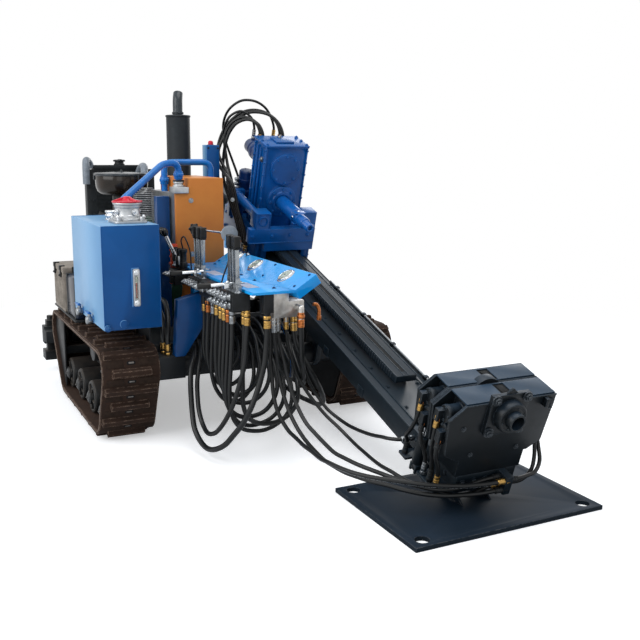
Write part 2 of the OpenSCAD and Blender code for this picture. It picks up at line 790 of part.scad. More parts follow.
eye_x = hub_x + lift_s * cos(mast_tilt) + lift_n * sin(mast_tilt);
eye_z = hub_z - lift_s * sin(mast_tilt) + lift_n * cos(mast_tilt);
lift_span = norm([eye_x - lift_x, eye_z - lift_z]);
module along_lift() {
  placed() translate([lift_x, mast_y, lift_z])
    rotate([0, -atan2(eye_z - lift_z, eye_x - lift_x), 0]) children();
}

module tilt_barrel() {
  color("#101214") along_lift() ram_barrel(45, 595, 36, 72, 16 + run_gap, 27);
}

module tilt_rod() {
  color("#c9cdd1") along_lift() ram_rod(lift_span, 580, 38, 72, 24, 27);
}

// A hose is one tube along a smooth curve through its points, with flat ends square to its first
// and last step.
hose_sides = 8;
function step_l(p) = [for (i = [0 : len(p) - 2]) norm(p[i + 1] - p[i])];
function slope(p, t, i) = i == 0 ? (p[1] - p[0]) / t[0]
  : i == len(p) - 1 ? (p[i] - p[i - 1]) / t[i - 1]
  : (p[i] - p[i - 1]) / t[i - 1] - (p[i + 1] - p[i - 1]) / (t[i - 1] + t[i]) + (p[i + 1] - p[i]) / t[i];
function halfway(p, t, i) = (p[i] + p[i + 1]) / 2 + (slope(p, t, i) - slope(p, t, i + 1)) * t[i] / 8;
function curve(p, t) = concat([for (i = [0 : len(p) - 2]) for (k = [0, 1]) k == 0 ? p[i] : halfway(p, t, i)],
  [p[len(p) - 1]]);
function unit(v) = v / norm(v);
function ways(q) = let (n = len(q) - 1) [for (i = [0 : n]) unit(q[min(i + 1, n)] - q[max(i - 1, 0)])];
function level(v, w) = unit(v - (v * w) * w);
function uprights(w, i, v) = i == len(w) ? [] : let (u = level(v, w[i])) concat([u], uprights(w, i + 1, u));

module hose(p, r) {
  q = curve(p, step_l(p));
  last = len(q) - 1;
  inner = ways(q);
  w = [for (i = [0 : last]) i == 0 ? unit(p[1] - p[0])
    : i == last ? unit(p[len(p) - 1] - p[len(p) - 2]) : inner[i]];
  u = uprights(w, 0, abs(w[0][2]) > 0.7 ? [1, 0, 0] : [0, 0, 1]);
  n = hose_sides;
  rings = [for (i = [0 : last]) for (k = [0 : n - 1]) let (a = 360 * k / n)
    q[i] + r * (cos(a) * u[i] + sin(a) * cross(w[i], u[i]))];
  sides = [for (i = [0 : last - 1]) for (k = [0 : n - 1]) let (a = i * n + k, b = i * n + (k + 1) % n)
    for (f = [[a, a + n, b + n], [a, b + n, b]]) f];
  caps = [[for (k = [0 : n - 1]) k], [for (k = [0 : n - 1]) last * n + n - 1 - k]];
  polyhedron(points = rings, faces = concat(sides, caps), convexity = 8);
}

// From the middle valve block under the console to the bulkhead on the deck
console_rear_1 = [[790, -328, 745], [790, -328, 705], [790, -330, 620], [790, -335, 540], [790, -325, 455],
  [790, -285, 385], [790, -210, 360], [780, -150, 415], [740, -120, 480], [670, -115, 530],
  [590, -115, 545], [550, -115, 545]];
console_rear_2 = [[835, -322, 745], [835, -322, 705], [835, -325, 630], [835, -330, 550], [835, -330, 475],
  [830, -315, 400], [830, -280, 330], [825, -210, 300], [820, -145, 330], [800, -105, 395], [770, -85, 465],
  [725, -80, 525], [665, -85, 570], [590, -85, 590], [550, -85, 590]];
console_rear_3 = [[880, -310, 745], [880, -310, 705], [880, -315, 620], [880, -320, 540], [880, -325, 455],
  [875, -320, 375], [875, -295, 295], [870, -245, 235], [860, -165, 220], [845, -100, 265], [820, -65, 335],
  [785, -55, 410], [735, -50, 475], [670, -55, 525], [590, -55, 545], [550, -55, 545]];
console_rear_4 = [[925, -305, 745], [925, -305, 705], [925, -310, 625], [925, -315, 540], [925, -315, 460],
  [920, -305, 380], [915, -270, 310], [905, -200, 265], [890, -125, 275], [865, -65, 325], [830, -35, 390],
  [780, -25, 450], [730, -20, 515], [665, -25, 565], [590, -25, 590], [550, -25, 590]];
module console_hoses_rear() {
  color("#141516") placed() {
    hose(console_rear_1, 9);
    hose(console_rear_2, 11);
    hose(console_rear_3, 11);
    hose(console_rear_4, 13);
  }
}

// From the front valve bank, down in long loops to the bulkhead
console_front_1 = [[1020, -318, 745], [1020, -318, 705], [1020, -320, 630], [1020, -325, 550],
  [1020, -330, 475], [1015, -325, 395], [1010, -305, 325], [995, -255, 265], [980, -185, 240],
  [960, -110, 245], [940, -50, 285], [905, -10, 345], [855, 5, 400], [800, 10, 450], [735, 5, 495],
  [665, 5, 530], [590, 5, 545], [550, 5, 545]];
console_front_2 = [[1070, -318, 745], [1070, -318, 705], [1070, -320, 625], [1070, -325, 545],
  [1070, -330, 470], [1070, -330, 390], [1065, -320, 310], [1050, -290, 240], [1035, -230, 190],
  [1015, -155, 175], [995, -80, 185], [970, -20, 225], [940, 20, 285], [890, 35, 350], [840, 40, 405],
  [785, 35, 465], [730, 35, 520], [665, 35, 570], [590, 35, 590], [550, 35, 590]];
console_front_3 = [[1120, -318, 745], [1120, -318, 705], [1120, -320, 625], [1120, -325, 545],
  [1120, -330, 470], [1120, -335, 390], [1115, -330, 310], [1105, -305, 235], [1090, -255, 175],
  [1070, -185, 145], [1050, -110, 145], [1025, -35, 165], [1000, 20, 210], [960, 55, 270], [915, 65, 330],
  [860, 70, 390], [800, 65, 440], [735, 65, 490], [665, 65, 530], [590, 65, 545], [550, 65, 545]];
console_front_4 = [[1170, -318, 745], [1170, -318, 705], [1170, -320, 625], [1170, -325, 545],
  [1170, -330, 460], [1170, -335, 380], [1165, -330, 300], [1155, -310, 220], [1135, -260, 160],
  [1115, -190, 130], [1095, -115, 120], [1070, -35, 135], [1045, 30, 170], [1005, 75, 225], [960, 95, 290],
  [905, 100, 345], [845, 100, 400], [785, 95, 455], [730, 95, 515], [665, 95, 565], [590, 95, 590],
  [550, 95, 590]];
console_front_5 = [[1205, -268, 745], [1205, -268, 705], [1205, -270, 625], [1205, -275, 545],
  [1205, -280, 465], [1205, -280, 385], [1195, -275, 305], [1180, -245, 230], [1155, -185, 185],
  [1135, -110, 165], [1110, -35, 165], [1080, 40, 190], [1045, 90, 240], [995, 115, 300], [940, 125, 350],
  [875, 125, 400], [805, 125, 445], [740, 125, 490], [670, 125, 525], [590, 125, 545], [550, 125, 545]];
module console_hoses_front() {
  color("#141516") placed() {
    hose(console_front_1, 11);
    hose(console_front_2, 12);
    hose(console_front_3, 11);
    hose(console_front_4, 11);
    hose(console_front_5, 12);
  }
}

// The two lowest loops, which reach down beside the pivot tube
console_low_1 = [[1240, -268, 745], [1240, -268, 705], [1240, -275, 625], [1240, -280, 545],
  [1240, -295, 470], [1230, -315, 390], [1215, -335, 315], [1185, -355, 245], [1140, -375, 180],
  [1080, -385, 135], [1005, -395, 115], [930, -395, 140], [875, -395, 195], [840, -390, 265],
  [810, -380, 340], [785, -360, 415], [735, -335, 470], [670, -320, 510], [590, -310, 520],
  [550, -310, 520]];
console_low_2 = [[1300, -190, 735], [1300, -190, 695], [1300, -195, 615], [1305, -205, 535],
  [1305, -225, 455], [1305, -250, 380], [1300, -280, 305], [1280, -310, 235], [1245, -345, 170],
  [1200, -375, 110], [1135, -405, 70], [1055, -420, 55], [980, -430, 75], [915, -435, 120],
  [870, -430, 185], [840, -425, 260], [820, -420, 340], [790, -405, 410], [740, -372, 462],
  [670, -352, 500], [590, -360, 520], [550, -360, 520]];
module console_hoses_low() {
  color("#141516") placed() {
    hose(console_low_1, 12);
    hose(console_low_2, 14);
  }
}

// From the manifold: two to the bulkhead and one under the chassis
manifold_1 = [[1340, -30, 735], [1340, -30, 695], [1335, -25, 615], [1320, -15, 535], [1285, 10, 465],
  [1230, 35, 405], [1165, 65, 365], [1095, 100, 345], [1020, 135, 335], [940, 160, 345], [865, 175, 375],
  [795, 185, 420], [735, 190, 470], [670, 195, 520], [590, 195, 545], [550, 195, 545]];
manifold_2 = [[1270, -140, 705], [1270, -140, 665], [1270, -130, 585], [1265, -115, 510], [1240, -75, 445],
  [1195, -30, 405], [1135, 15, 385], [1065, 50, 385], [995, 85, 395], [925, 115, 420], [860, 140, 450],
  [795, 155, 495], [735, 160, 545], [665, 165, 580], [590, 165, 600], [550, 165, 600]];
manifold_3 = [[1268, -35, 705], [1268, -35, 665], [1270, -20, 590], [1275, 15, 520], [1275, 55, 455],
  [1265, 95, 390], [1235, 135, 330], [1190, 170, 275], [1130, 195, 235], [1060, 210, 205], [985, 220, 190],
  [910, 220, 185], [830, 220, 180], [755, 215, 185], [675, 210, 190], [600, 205, 205], [535, 195, 240],
  [500, 190, 310], [500, 190, 350]];
module manifold_hoses() {
  color("#141516") placed() {
    hose(manifold_1, 14);
    hose(manifold_2, 10);
    hose(manifold_3, 13);
  }
}

// From the front box, below the tank, to the pumps on the engine
pump_1 = [[660, -490, 480], [660, -490, 520], [640, -480, 595], [590, -465, 655], [520, -450, 690],
  [445, -435, 705], [365, -425, 705], [285, -420, 700], [205, -425, 690], [130, -430, 685], [50, -440, 680],
  [-30, -440, 680], [-70, -440, 680]];
pump_2 = [[610, -500, 480], [610, -500, 520], [575, -490, 590], [510, -470, 625], [435, -455, 640],
  [360, -445, 645], [280, -435, 640], [205, -420, 635], [125, -410, 630], [50, -405, 625], [-30, -400, 625],
  [-70, -400, 625]];
module pump_hoses() {
  color("#141516") placed() {
    hose(pump_1, 13);
    hose(pump_2, 13);
  }
}

// From the manifold, over the tracks, to the block at the front of the mast
mast_lower_1 = [[1165, -110, 705], [1165, -110, 665], [1165, -110, 585], [1170, -115, 505],
  [1185, -115, 425], [1210, -120, 350], [1260, -125, 285], [1325, -125, 240], [1395, -120, 205],
  [1475, -115, 190], [1555, -115, 180], [1635, -110, 175], [1715, -110, 170], [1795, -105, 175],
  [1875, -90, 175], [1950, -65, 175], [2020, -25, 175], [2080, 25, 175], [2130, 90, 170], [2175, 155, 165],
  [2210, 230, 160], [2235, 305, 155], [2245, 385, 150], [2250, 466, 148], [2250, 506, 148]];
mast_lower_2 = [[1205, -110, 705], [1205, -110, 665], [1205, -105, 585], [1215, -100, 510],
  [1230, -95, 430], [1260, -90, 360], [1305, -85, 295], [1365, -80, 240], [1430, -75, 200],
  [1505, -70, 170], [1580, -65, 150], [1655, -60, 135], [1735, -50, 130], [1810, -35, 125],
  [1885, -10, 125], [1960, 20, 125], [2025, 60, 125], [2095, 100, 122], [2155, 155, 117], [2198, 225, 112],
  [2218, 300, 108], [2232, 385, 105], [2236, 466, 105], [2236, 506, 105]];
mast_lower_3 = [[1245, -110, 705], [1245, -110, 665], [1255, -100, 585], [1270, -85, 505], [1290, -75, 430],
  [1325, -65, 355], [1375, -55, 295], [1435, -45, 245], [1510, -30, 210], [1585, -20, 185],
  [1665, -10, 165], [1740, 5, 160], [1820, 25, 155], [1895, 55, 150], [1980, 80, 150], [2055, 115, 145],
  [2122, 155, 140], [2180, 205, 137], [2206, 268, 138], [2217, 345, 146], [2218, 415, 155],
  [2218, 466, 158], [2218, 506, 158]];
module mast_hoses_lower() {
  color("#141516") placed() {
    hose(mast_lower_1, 10);
    hose(mast_lower_2, 10);
    hose(mast_lower_3, 10);
  }
}

// From the manifold to the front block and to the side of the mast
mast_upper_1 = [[1222, -55, 705], [1222, -55, 665], [1225, -45, 585], [1235, -25, 505], [1245, 0, 425],
  [1265, 35, 355], [1295, 75, 290], [1345, 110, 235], [1405, 140, 195], [1480, 160, 160], [1560, 165, 140],
  [1640, 165, 130], [1720, 160, 125], [1800, 160, 120], [1885, 165, 120], [1965, 180, 110],
  [2040, 205, 105], [2105, 255, 95], [2160, 315, 85], [2195, 385, 95], [2204, 466, 115], [2204, 506, 115]];
mast_upper_2 = [[1225, -15, 705], [1225, -15, 665], [1220, 0, 590], [1220, 20, 515], [1215, 50, 440],
  [1220, 80, 370], [1240, 115, 305], [1285, 145, 250], [1350, 175, 215], [1425, 190, 200], [1500, 195, 200],
  [1580, 190, 210], [1700, 181, 231], [1768, 179, 246], [1830, 191, 254], [1864, 221, 257],
  [1864, 260.8, 257]];
module mast_hoses_upper() {
  color("#141516") placed() {
    hose(mast_upper_1, 9);
    hose(mast_upper_2, 9);
  }
}

// From the fixed vise to the bracket below it, on the side of the console
clamp_left_1 = [[2294, -262, -60], [2294, -262, -90], [2295, -260, -150], [2290, -250, -210],
  [2290, -235, -270], [2292, -225, -330], [2292, -225, -360]];
clamp_left_2 = [[2334, -262, -140], [2334, -262, -170], [2335, -255, -225], [2340, -235, -275],
  [2340, -225, -330], [2340, -225, -360]];
module clamp_hoses_left() {
  color("#141516") on_mast() {
    hose(clamp_left_1, 9);
    hose(clamp_left_2, 9);
  }
}

// The same on the far side, to the front block
clamp_right_1 = [[2294, 262, -60], [2294, 262, -90], [2300, 270, -150], [2315, 290, -210],
  [2340, 300, -265], [2380, 290, -310], [2415, 245, -335], [2430, 185, -335], [2436, 125, -335],
  [2436, 95, -335]];
clamp_right_2 = [[2334, 262, -140], [2334, 262, -170], [2345, 265, -235], [2365, 265, -290],
  [2390, 245, -345], [2405, 190, -375], [2404, 125, -380], [2404, 95, -380]];
module clamp_hoses_right() {
  color("#141516") on_mast() {
    hose(clamp_right_1, 9);
    hose(clamp_right_2, 9);
  }
}

// From the swinging vise to its brackets
breakout_left_1 = [[2166, -262, -60], [2166, -262, -90], [2160, -265, -155], [2140, -265, -215],
  [2105, -255, -270], [2086, -225, -330], [2086, -225, -360]];
breakout_left_2 = [[2206, -262, -140], [2206, -262, -170], [2215, -255, -225], [2230, -235, -275],
  [2242, -225, -330], [2242, -225, -360]];
module breakout_hoses_left() {
  color("#141516") on_mast() {
    hose(breakout_left_1, 9);
    hose(breakout_left_2, 9);
  }
}

// The same on the far side
breakout_right_1 = [[2166, 262, -60], [2166, 262, -90], [2160, 265, -155], [2140, 265, -215],
  [2105, 255, -270], [2086, 225, -330], [2086, 225, -360]];
breakout_right_2 = [[2206, 262, -140], [2206, 262, -170], [2215, 255, -225], [2230, 235, -275],
  [2242, 225, -330], [2242, 225, -360]];
module breakout_hoses_right() {
  color("#141516") on_mast() {
    hose(breakout_right_1, 9);
    hose(breakout_right_2, 9);
  }
}

// From the carriage's side to the motors behind the gearbox and above the base
drive_1 = [[-120, -204, -330], [-120, -204, -290], [-140, -215, -215], [-180, -230, -150],
  [-225, -245, -90], [-280, -255, -35], [-335, -260, 20], [-370, -260, 90], [-380, -260, 165],
  [-380, -255, 245], [-380, -235, 320], [-360, -200, 385], [-320, -145, 420], [-265, -95, 405],
  [-235, -68, 340], [-235, -68, 300]];
drive_2 = [[-80, -204, -330], [-80, -204, -290], [-105, -215, -215], [-145, -225, -145], [-195, -240, -85],
  [-245, -250, -25], [-300, -250, 35], [-350, -235, 95], [-400, -235, 155], [-420, -245, 230],
  [-425, -240, 310], [-410, -205, 380], [-370, -150, 420], [-320, -95, 405], [-285, -68, 340],
  [-285, -68, 300]];
drive_3 = [[-40, -204, -330], [-40, -204, -290], [-65, -210, -215], [-105, -225, -150], [-150, -240, -85],
  [-195, -245, -20], [-240, -255, 45], [-300, -265, 95], [-365, -280, 135], [-425, -280, 180],
  [-450, -250, 250], [-450, -215, 320], [-435, -175, 385], [-410, -120, 435], [-365, -60, 455],
  [-310, 0, 450], [-265, 45, 410], [-235, 68, 340], [-235, 68, 300]];
drive_4 = [[0, -204, -330], [0, -204, -290], [-25, -210, -215], [-65, -225, -145], [-110, -240, -80],
  [-140, -250, -10], [-180, -265, 55], [-255, -285, 85], [-335, -290, 100], [-410, -285, 120],
  [-475, -270, 165], [-500, -250, 235], [-495, -225, 310], [-480, -185, 375], [-450, -130, 430],
  [-410, -65, 455], [-360, -5, 450], [-315, 45, 410], [-285, 68, 340], [-285, 68, 300]];
drive_5 = [[-455, -120, -170], [-455, -120, -130], [-465, -145, -50], [-475, -170, 25], [-480, -195, 100],
  [-485, -215, 180], [-480, -235, 260], [-460, -240, 335], [-430, -220, 410], [-395, -165, 450],
  [-380, -100, 415], [-385, -68, 340], [-385, -68, 300]];
drive_6 = [[-455, -60, -170], [-455, -60, -130], [-480, -85, -55], [-495, -115, 20], [-510, -145, 90],
  [-515, -180, 165], [-520, -210, 240], [-515, -230, 315], [-490, -230, 395], [-455, -210, 460],
  [-425, -155, 510], [-400, -80, 515], [-390, -10, 480], [-385, 40, 415], [-385, 68, 340], [-385, 68, 300]];
module drive_hoses() {
  color("#141516") on_mast() {
    hose(drive_1, 10);
    hose(drive_2, 10);
    hose(drive_3, 10);
    hose(drive_4, 10);
    hose(drive_5, 8);
    hose(drive_6, 8);
  }
}

chassis_frame();
lift_beam();
pivot_tube();
rear_bar();
track_frame(-track_gauge / 2, -1);  // right_track_frame
track_frame(track_gauge / 2, 1);  // left_track_frame
track_wheels(-track_gauge / 2, -1);  // right_track_wheels
track_wheels(track_gauge / 2, 1);  // left_track_wheels
track(-track_gauge / 2);  // right_track
track(track_gauge / 2);  // left_track
hydraulic_tank();
return_filter();
tank_breather();
engine_block();
air_cleaner();
exhaust_stack();
radiator();
fan();
cooler_core();
cooler_shroud();
cooler_post();
return_pipes();
battery_box();
fuel_tank();
electric_box();
console();
console_column();
front_valve_bank();
rear_valve_bank();
front_levers();
rear_levers();
manifold();
stabiliser(-leg_y);  // right_stabiliser
stabiliser(leg_y);  // left_stabiliser
mast_beam();
rack();
clamp_vise();
breakout_vise();
breakout_barrel();
breakout_rod();
carriage_base();
gearbox();
rotary_motors();
feed_motors();
spindle();
anchor_plate();
tilt_barrel();
tilt_rod();
console_hoses_rear();
console_hoses_front();
console_hoses_low();
manifold_hoses();
pump_hoses();
mast_hoses_lower();
mast_hoses_upper();
clamp_hoses_left();
clamp_hoses_right();
breakout_hoses_left();
breakout_hoses_right();
drive_hoses();
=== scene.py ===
# Horizontal directional drill on tracks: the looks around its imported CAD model.
import json
import math

import bmesh
import bpy
from mathutils import Matrix, Vector

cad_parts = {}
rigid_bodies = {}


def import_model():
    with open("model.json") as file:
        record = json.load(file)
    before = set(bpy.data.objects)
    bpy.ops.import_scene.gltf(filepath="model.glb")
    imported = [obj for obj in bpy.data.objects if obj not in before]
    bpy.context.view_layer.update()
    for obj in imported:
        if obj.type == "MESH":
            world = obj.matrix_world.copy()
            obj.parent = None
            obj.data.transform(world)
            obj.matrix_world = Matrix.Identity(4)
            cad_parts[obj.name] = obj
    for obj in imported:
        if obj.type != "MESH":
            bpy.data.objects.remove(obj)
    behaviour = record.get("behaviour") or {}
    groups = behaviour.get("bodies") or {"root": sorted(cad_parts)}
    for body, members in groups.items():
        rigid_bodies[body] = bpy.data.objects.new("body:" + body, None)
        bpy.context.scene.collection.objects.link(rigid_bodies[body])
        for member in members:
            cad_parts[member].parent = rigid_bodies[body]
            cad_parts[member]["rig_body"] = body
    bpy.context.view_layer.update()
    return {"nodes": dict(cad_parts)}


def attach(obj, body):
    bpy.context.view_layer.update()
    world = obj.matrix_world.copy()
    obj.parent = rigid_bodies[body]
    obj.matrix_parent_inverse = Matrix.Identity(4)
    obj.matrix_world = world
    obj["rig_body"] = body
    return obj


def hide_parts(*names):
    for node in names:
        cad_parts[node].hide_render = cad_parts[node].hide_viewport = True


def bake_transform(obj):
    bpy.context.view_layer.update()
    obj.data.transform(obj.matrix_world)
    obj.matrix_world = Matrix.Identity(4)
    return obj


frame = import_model()
nodes = frame["nodes"]
print("frame loaded:", len(nodes), "CAD nodes")

# Everything is modelled in millimetres in the machine's own zero, then settled in the shared frame.
ground = Matrix.Translation((-0.6085, -0.037, 0)) @ Matrix.Scale(0.001, 4)
mast = ground @ Matrix.Translation((37, 446, 1219)) @ Matrix.Rotation(math.radians(18), 4, "Y")
smoothAngle = math.radians(38)  # edges under this angle are shaded smooth


def deselect():
    for each in list(bpy.context.selected_objects):
        each.select_set(False)


def pick(obj):
    deselect()
    obj.select_set(True)
    bpy.context.view_layer.objects.active = obj


def finishWith(obj, kind, **settings):  # one modifier, applied
    pick(obj)
    modifier = obj.modifiers.new(kind.title(), kind)
    for key, value in settings.items():
        setattr(modifier, key, value)
    bpy.ops.object.modifier_apply(modifier=modifier.name)
    return obj


def rounded(obj, width, segments=2, angle=30):
    if width <= 0:
        return obj
    return finishWith(obj, "BEVEL", width=width, segments=segments, limit_method="ANGLE",
                      angle_limit=math.radians(angle), harden_normals=False)


def block(low, high, bevel=2, segments=2):
    deselect()
    centre = [(a + b) / 2 for a, b in zip(low, high)]
    bpy.ops.mesh.primitive_cube_add(size=1, location=centre)
    obj = bpy.context.object
    obj.scale = [abs(b - a) for a, b in zip(low, high)]
    bpy.ops.object.transform_apply(location=True, rotation=True, scale=True)
    return rounded(obj, bevel, segments)


def rod(start, end, radius, bevel=1, sides=32, tip=None):
    deselect()
    start, end = Vector(start), Vector(end)
    way = end - start
    turn = way.to_track_quat("Z", "Y").to_euler()
    bpy.ops.mesh.primitive_cone_add(vertices=sides, radius1=radius, radius2=radius if tip is None else tip,
                                    depth=way.length, location=(start + end) / 2, rotation=turn)
    obj = bpy.context.object
    bpy.ops.object.transform_apply(location=True, rotation=True, scale=True)
    return rounded(obj, bevel, 2, 35)


def fromEdges(name, points, edges=None, faces=()):
    mesh = bpy.data.meshes.new(name)
    mesh.from_pydata([tuple(p) for p in points], edges if edges is not None else [], [tuple(f) for f in faces])
    obj = bpy.data.objects.new(name, mesh)
    bpy.context.scene.collection.objects.link(obj)
    return obj


def outward(obj, merge=0.01):
    pick(obj)
    bpy.ops.object.mode_set(mode="EDIT")
    bpy.ops.mesh.select_all(action="SELECT")
    bpy.ops.mesh.remove_doubles(threshold=merge)
    bpy.ops.mesh.normals_make_consistent(inside=False)
    bpy.ops.object.mode_set(mode="OBJECT")
    return obj


def lathe(start, way, profile, steps=40, bevel=0):  # profile: (radius, along) from one end to the other
    obj = fromEdges("lathe", [(r, 0, h) for r, h in profile], [(i, i + 1) for i in range(len(profile) - 1)])
    finishWith(obj, "SCREW", steps=steps, render_steps=steps, use_merge_vertices=True, merge_threshold=0.01,
               use_smooth_shade=False)
    obj.data.transform(Matrix.Translation(start) @ Vector(way).to_track_quat("Z", "Y").to_matrix().to_4x4())
    outward(obj)
    return rounded(obj, bevel, 2, 35)


def slab(outline, thickness, place=None, bevel=1, holes=()):  # outline in X and Y, thickness along +Z
    curve = bpy.data.curves.new("slab", "CURVE")
    curve.dimensions = "2D"
    curve.fill_mode = "BOTH"
    curve.extrude = thickness / 2
    for loop in [outline, *holes]:
        spline = curve.splines.new("POLY")
        spline.points.add(len(loop) - 1)
        for point, (x, y) in zip(spline.points, loop):
            point.co = (x, y, 0, 1)
        spline.use_cyclic_u = True
    obj = bpy.data.objects.new("slab", curve)
    bpy.context.scene.collection.objects.link(obj)
    pick(obj)
    bpy.ops.object.convert(target="MESH")
    obj = bpy.context.object
    obj.data.transform(Matrix.Translation((0, 0, thickness / 2)))
    outward(obj, 0.05)
    if place is not None:
        obj.data.transform(place)
    return rounded(obj, bevel, 2, 50)


def ring(radius, count):
    return [(radius * math.cos(2 * math.pi * k / count),
             radius * math.sin(2 * math.pi * k / count)) for k in range(count)]


def softRect(low, high, radius, steps=5):
    loop = []
    for cx, cy, first in ((high[0] - radius, high[1] - radius, 0), (low[0] + radius, high[1] - radius, 90),
                          (low[0] + radius, low[1] + radius, 180), (high[0] - radius, low[1] + radius, 270)):
        for k in range(steps + 1):
            a = math.radians(first + 90 * k / steps)
            loop.append((cx + radius * math.cos(a), cy + radius * math.sin(a)))
    return loop


def rails(points):  # directions and an upright for each point, carried along without twist
    points = [Vector(p) for p in points]
    last = len(points) - 1
    ways = [(points[min(i + 1, last)] - points[max(i - 1, 0)]).normalized() for i in range(last + 1)]
    upright = Vector((1, 0, 0)) if abs(ways[0].z) > 0.7 else Vector((0, 0, 1))
    uprights = []
    for way in ways:
        upright = (upright - way * upright.dot(way)).normalized()
        uprights.append(upright.copy())
    return points, ways, uprights


def sweep(points, radius, sides=12, closedEnds=True):  # a tube along points, with its own UV map
    points, ways, uprights = rails(points)
    radii = radius if isinstance(radius, (list, tuple)) else [radius] * len(points)
    mesh = bmesh.new()
    uv = mesh.loops.layers.uv.new("UVMap")
    rows = []
    for p, way, upright, r in zip(points, ways, uprights, radii):
        side = way.cross(upright)
        rows.append([mesh.verts.new(p + r * (math.cos(a) * upright + math.sin(a) * side))
                     for a in [2 * math.pi * k / sides for k in range(sides)]])
    run = 0.0
    for i in range(len(rows) - 1):
        step = (points[i + 1] - points[i]).length
        for k in range(sides):
            face = mesh.faces.new((rows[i][k], rows[i][(k + 1) % sides], rows[i + 1][(k + 1) % sides],
                                   rows[i + 1][k]))
            for loop, (u, v) in zip(face.loops, ((k, run), (k + 1, run), (k + 1, run + step), (k, run + step))):
                loop[uv].uv = (u / sides, v)
            face.smooth = True
        run += step
    if closedEnds:
        mesh.faces.new(list(reversed(rows[0])))
        mesh.faces.new(rows[-1])
    data = bpy.data.meshes.new("tube")
    mesh.to_mesh(data)
    mesh.free()
    obj = bpy.data.objects.new("tube", data)
    bpy.context.scene.collection.objects.link(obj)
    return obj


def smoothLine(points, steps=6):  # the same curve as the CAD hoses
    points = [Vector(p) for p in points]
    span = [(b - a).length for a, b in zip(points, points[1:])]
    slopes = []
    for i, p in enumerate(points):
        if i == 0:
            slopes.append((points[1] - p) / span[0])
        elif i == len(points) - 1:
            slopes.append((p - points[i - 1]) / span[i - 1])
        else:
            a, b = span[i - 1], span[i]
            slopes.append((p - points[i - 1]) / a - (points[i + 1] - points[i - 1]) / (a + b)
                          + (points[i + 1] - p) / b)
    line = []
    for i, t in enumerate(span):
        p, q, a, b = points[i], points[i + 1], slopes[i] * t, slopes[i + 1] * t
        for k in range(steps):
            u = k / steps
            line.append((2 * u ** 3 - 3 * u * u + 1) * p + (u ** 3 - 2 * u * u + u) * a
                        + (3 * u * u - 2 * u ** 3) * q + (u ** 3 - u * u) * b)
    return line + [points[-1]]


def pipe(points, radius, bend=40, sides=16):  # straight runs with rounded bends
    points = [Vector(p) for p in points]
    line = [points[0]]
    for a, b, c in zip(points, points[1:], points[2:]):
        into, out = (a - b), (c - b)
        cut = min(bend, into.length * 0.45, out.length * 0.45)
        start, end = b + into.normalized() * cut, b + out.normalized() * cut
        for k in range(7):
            u = k / 6
            line.append((1 - u) ** 2 * start + 2 * u * (1 - u) * b + u * u * end)
    line.append(points[-1])
    return sweep(line, radius, sides)


def dressed(obj, material):
    obj.data.materials.clear()
    obj.data.materials.append(material)
    return obj


def copied(source, place):
    obj = bpy.data.objects.new(source.name, source.data.copy())
    obj.data.transform(place)
    bpy.context.scene.collection.objects.link(obj)
    return obj


def copies(source, places):
    made = [copied(source, place) for place in places]
    bpy.data.objects.remove(source)
    return made


def facing(where, way, spin=0.0):  # a place whose own +Z points along way
    return (Matrix.Translation(where) @ Vector(way).to_track_quat("Z", "Y").to_matrix().to_4x4()
            @ Matrix.Rotation(math.radians(spin), 4, "Z"))


def settle(name, parts, space, body, material=None, replaces=()):  # joins the parts and seats them
    parts = [p for p in parts if p is not None]
    if material is not None:
        for part in parts:
            if not part.data.materials:
                part.data.materials.append(material)
    pick(parts[0])
    for part in parts[1:]:
        part.select_set(True)
    if len(parts) > 1:
        bpy.ops.object.join()
    obj = bpy.context.view_layer.objects.active
    obj.name = name
    obj.data.name = name
    obj.data.transform(space)
    pick(obj)
    bpy.ops.object.shade_smooth_by_angle(angle=smoothAngle)
    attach(obj, body)
    if replaces:
        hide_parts(*replaces)
    return obj


def fit(name, parts, look, replaces=(), space=ground, body="chassis"):  # seats them with one of the finishes
    return settle(name, parts, space, body, paints[look], replaces)


def bolt(radius, height):  # a hexagon head on its washer, standing on +Z
    parts = [rounded(rod((0, 0, 0), (0, 0, height), radius, 0, 6), radius * 0.09, 1),
             rod((0, 0, 0), (0, 0, height * 0.28), radius * 1.35, 0, 20),
             rod((0, 0, 0), (0, 0, height * 1.5), radius * 0.5, 0.4, 12)]
    pick(parts[0])
    for part in parts[1:]:
        part.select_set(True)
    bpy.ops.object.join()
    return bpy.context.object


def boltRing(centre, way, circle, count, radius, height=6, start=0.0):
    source = bolt(radius, height)
    base = facing(centre, way)
    return copies(source, [base @ Matrix.Translation((circle * math.cos(a), circle * math.sin(a), 0))
                           for a in [math.radians(start) + 2 * math.pi * k / count for k in range(count)]])


def boltsAt(places, way, radius, height=6):
    source = bolt(radius, height)
    return copies(source, [facing(p, way, 17 * i) for i, p in enumerate(places)])


# Finishes. Every pattern is sized in millimetres on the object's own coordinates, which are in metres.
def fromHex(code):  # sRGB hex to linear
    values = [int(code[i:i + 2], 16) / 255 for i in (1, 3, 5)]
    return tuple(v / 12.92 if v <= 0.04045 else ((v + 0.055) / 1.055) ** 2.4 for v in values) + (1.0,)


def addNode(tree, kind, inputs=None, **settings):
    node = tree.nodes.new(kind)
    for key, value in settings.items():
        setattr(node, key, value)
    for key, value in (inputs or {}).items():
        if isinstance(value, bpy.types.NodeSocket):
            tree.links.new(value, node.inputs[key])
        else:
            node.inputs[key].default_value = value
    return node


def perMetre(millimetres):
    return 1000 / millimetres


def noiseOf(tree, place, size, detail, rough=0.5):
    return addNode(tree, "ShaderNodeTexNoise", {"Vector": place, "Scale": perMetre(size), "Detail": detail,
                                                "Roughness": rough}).outputs["Fac"]


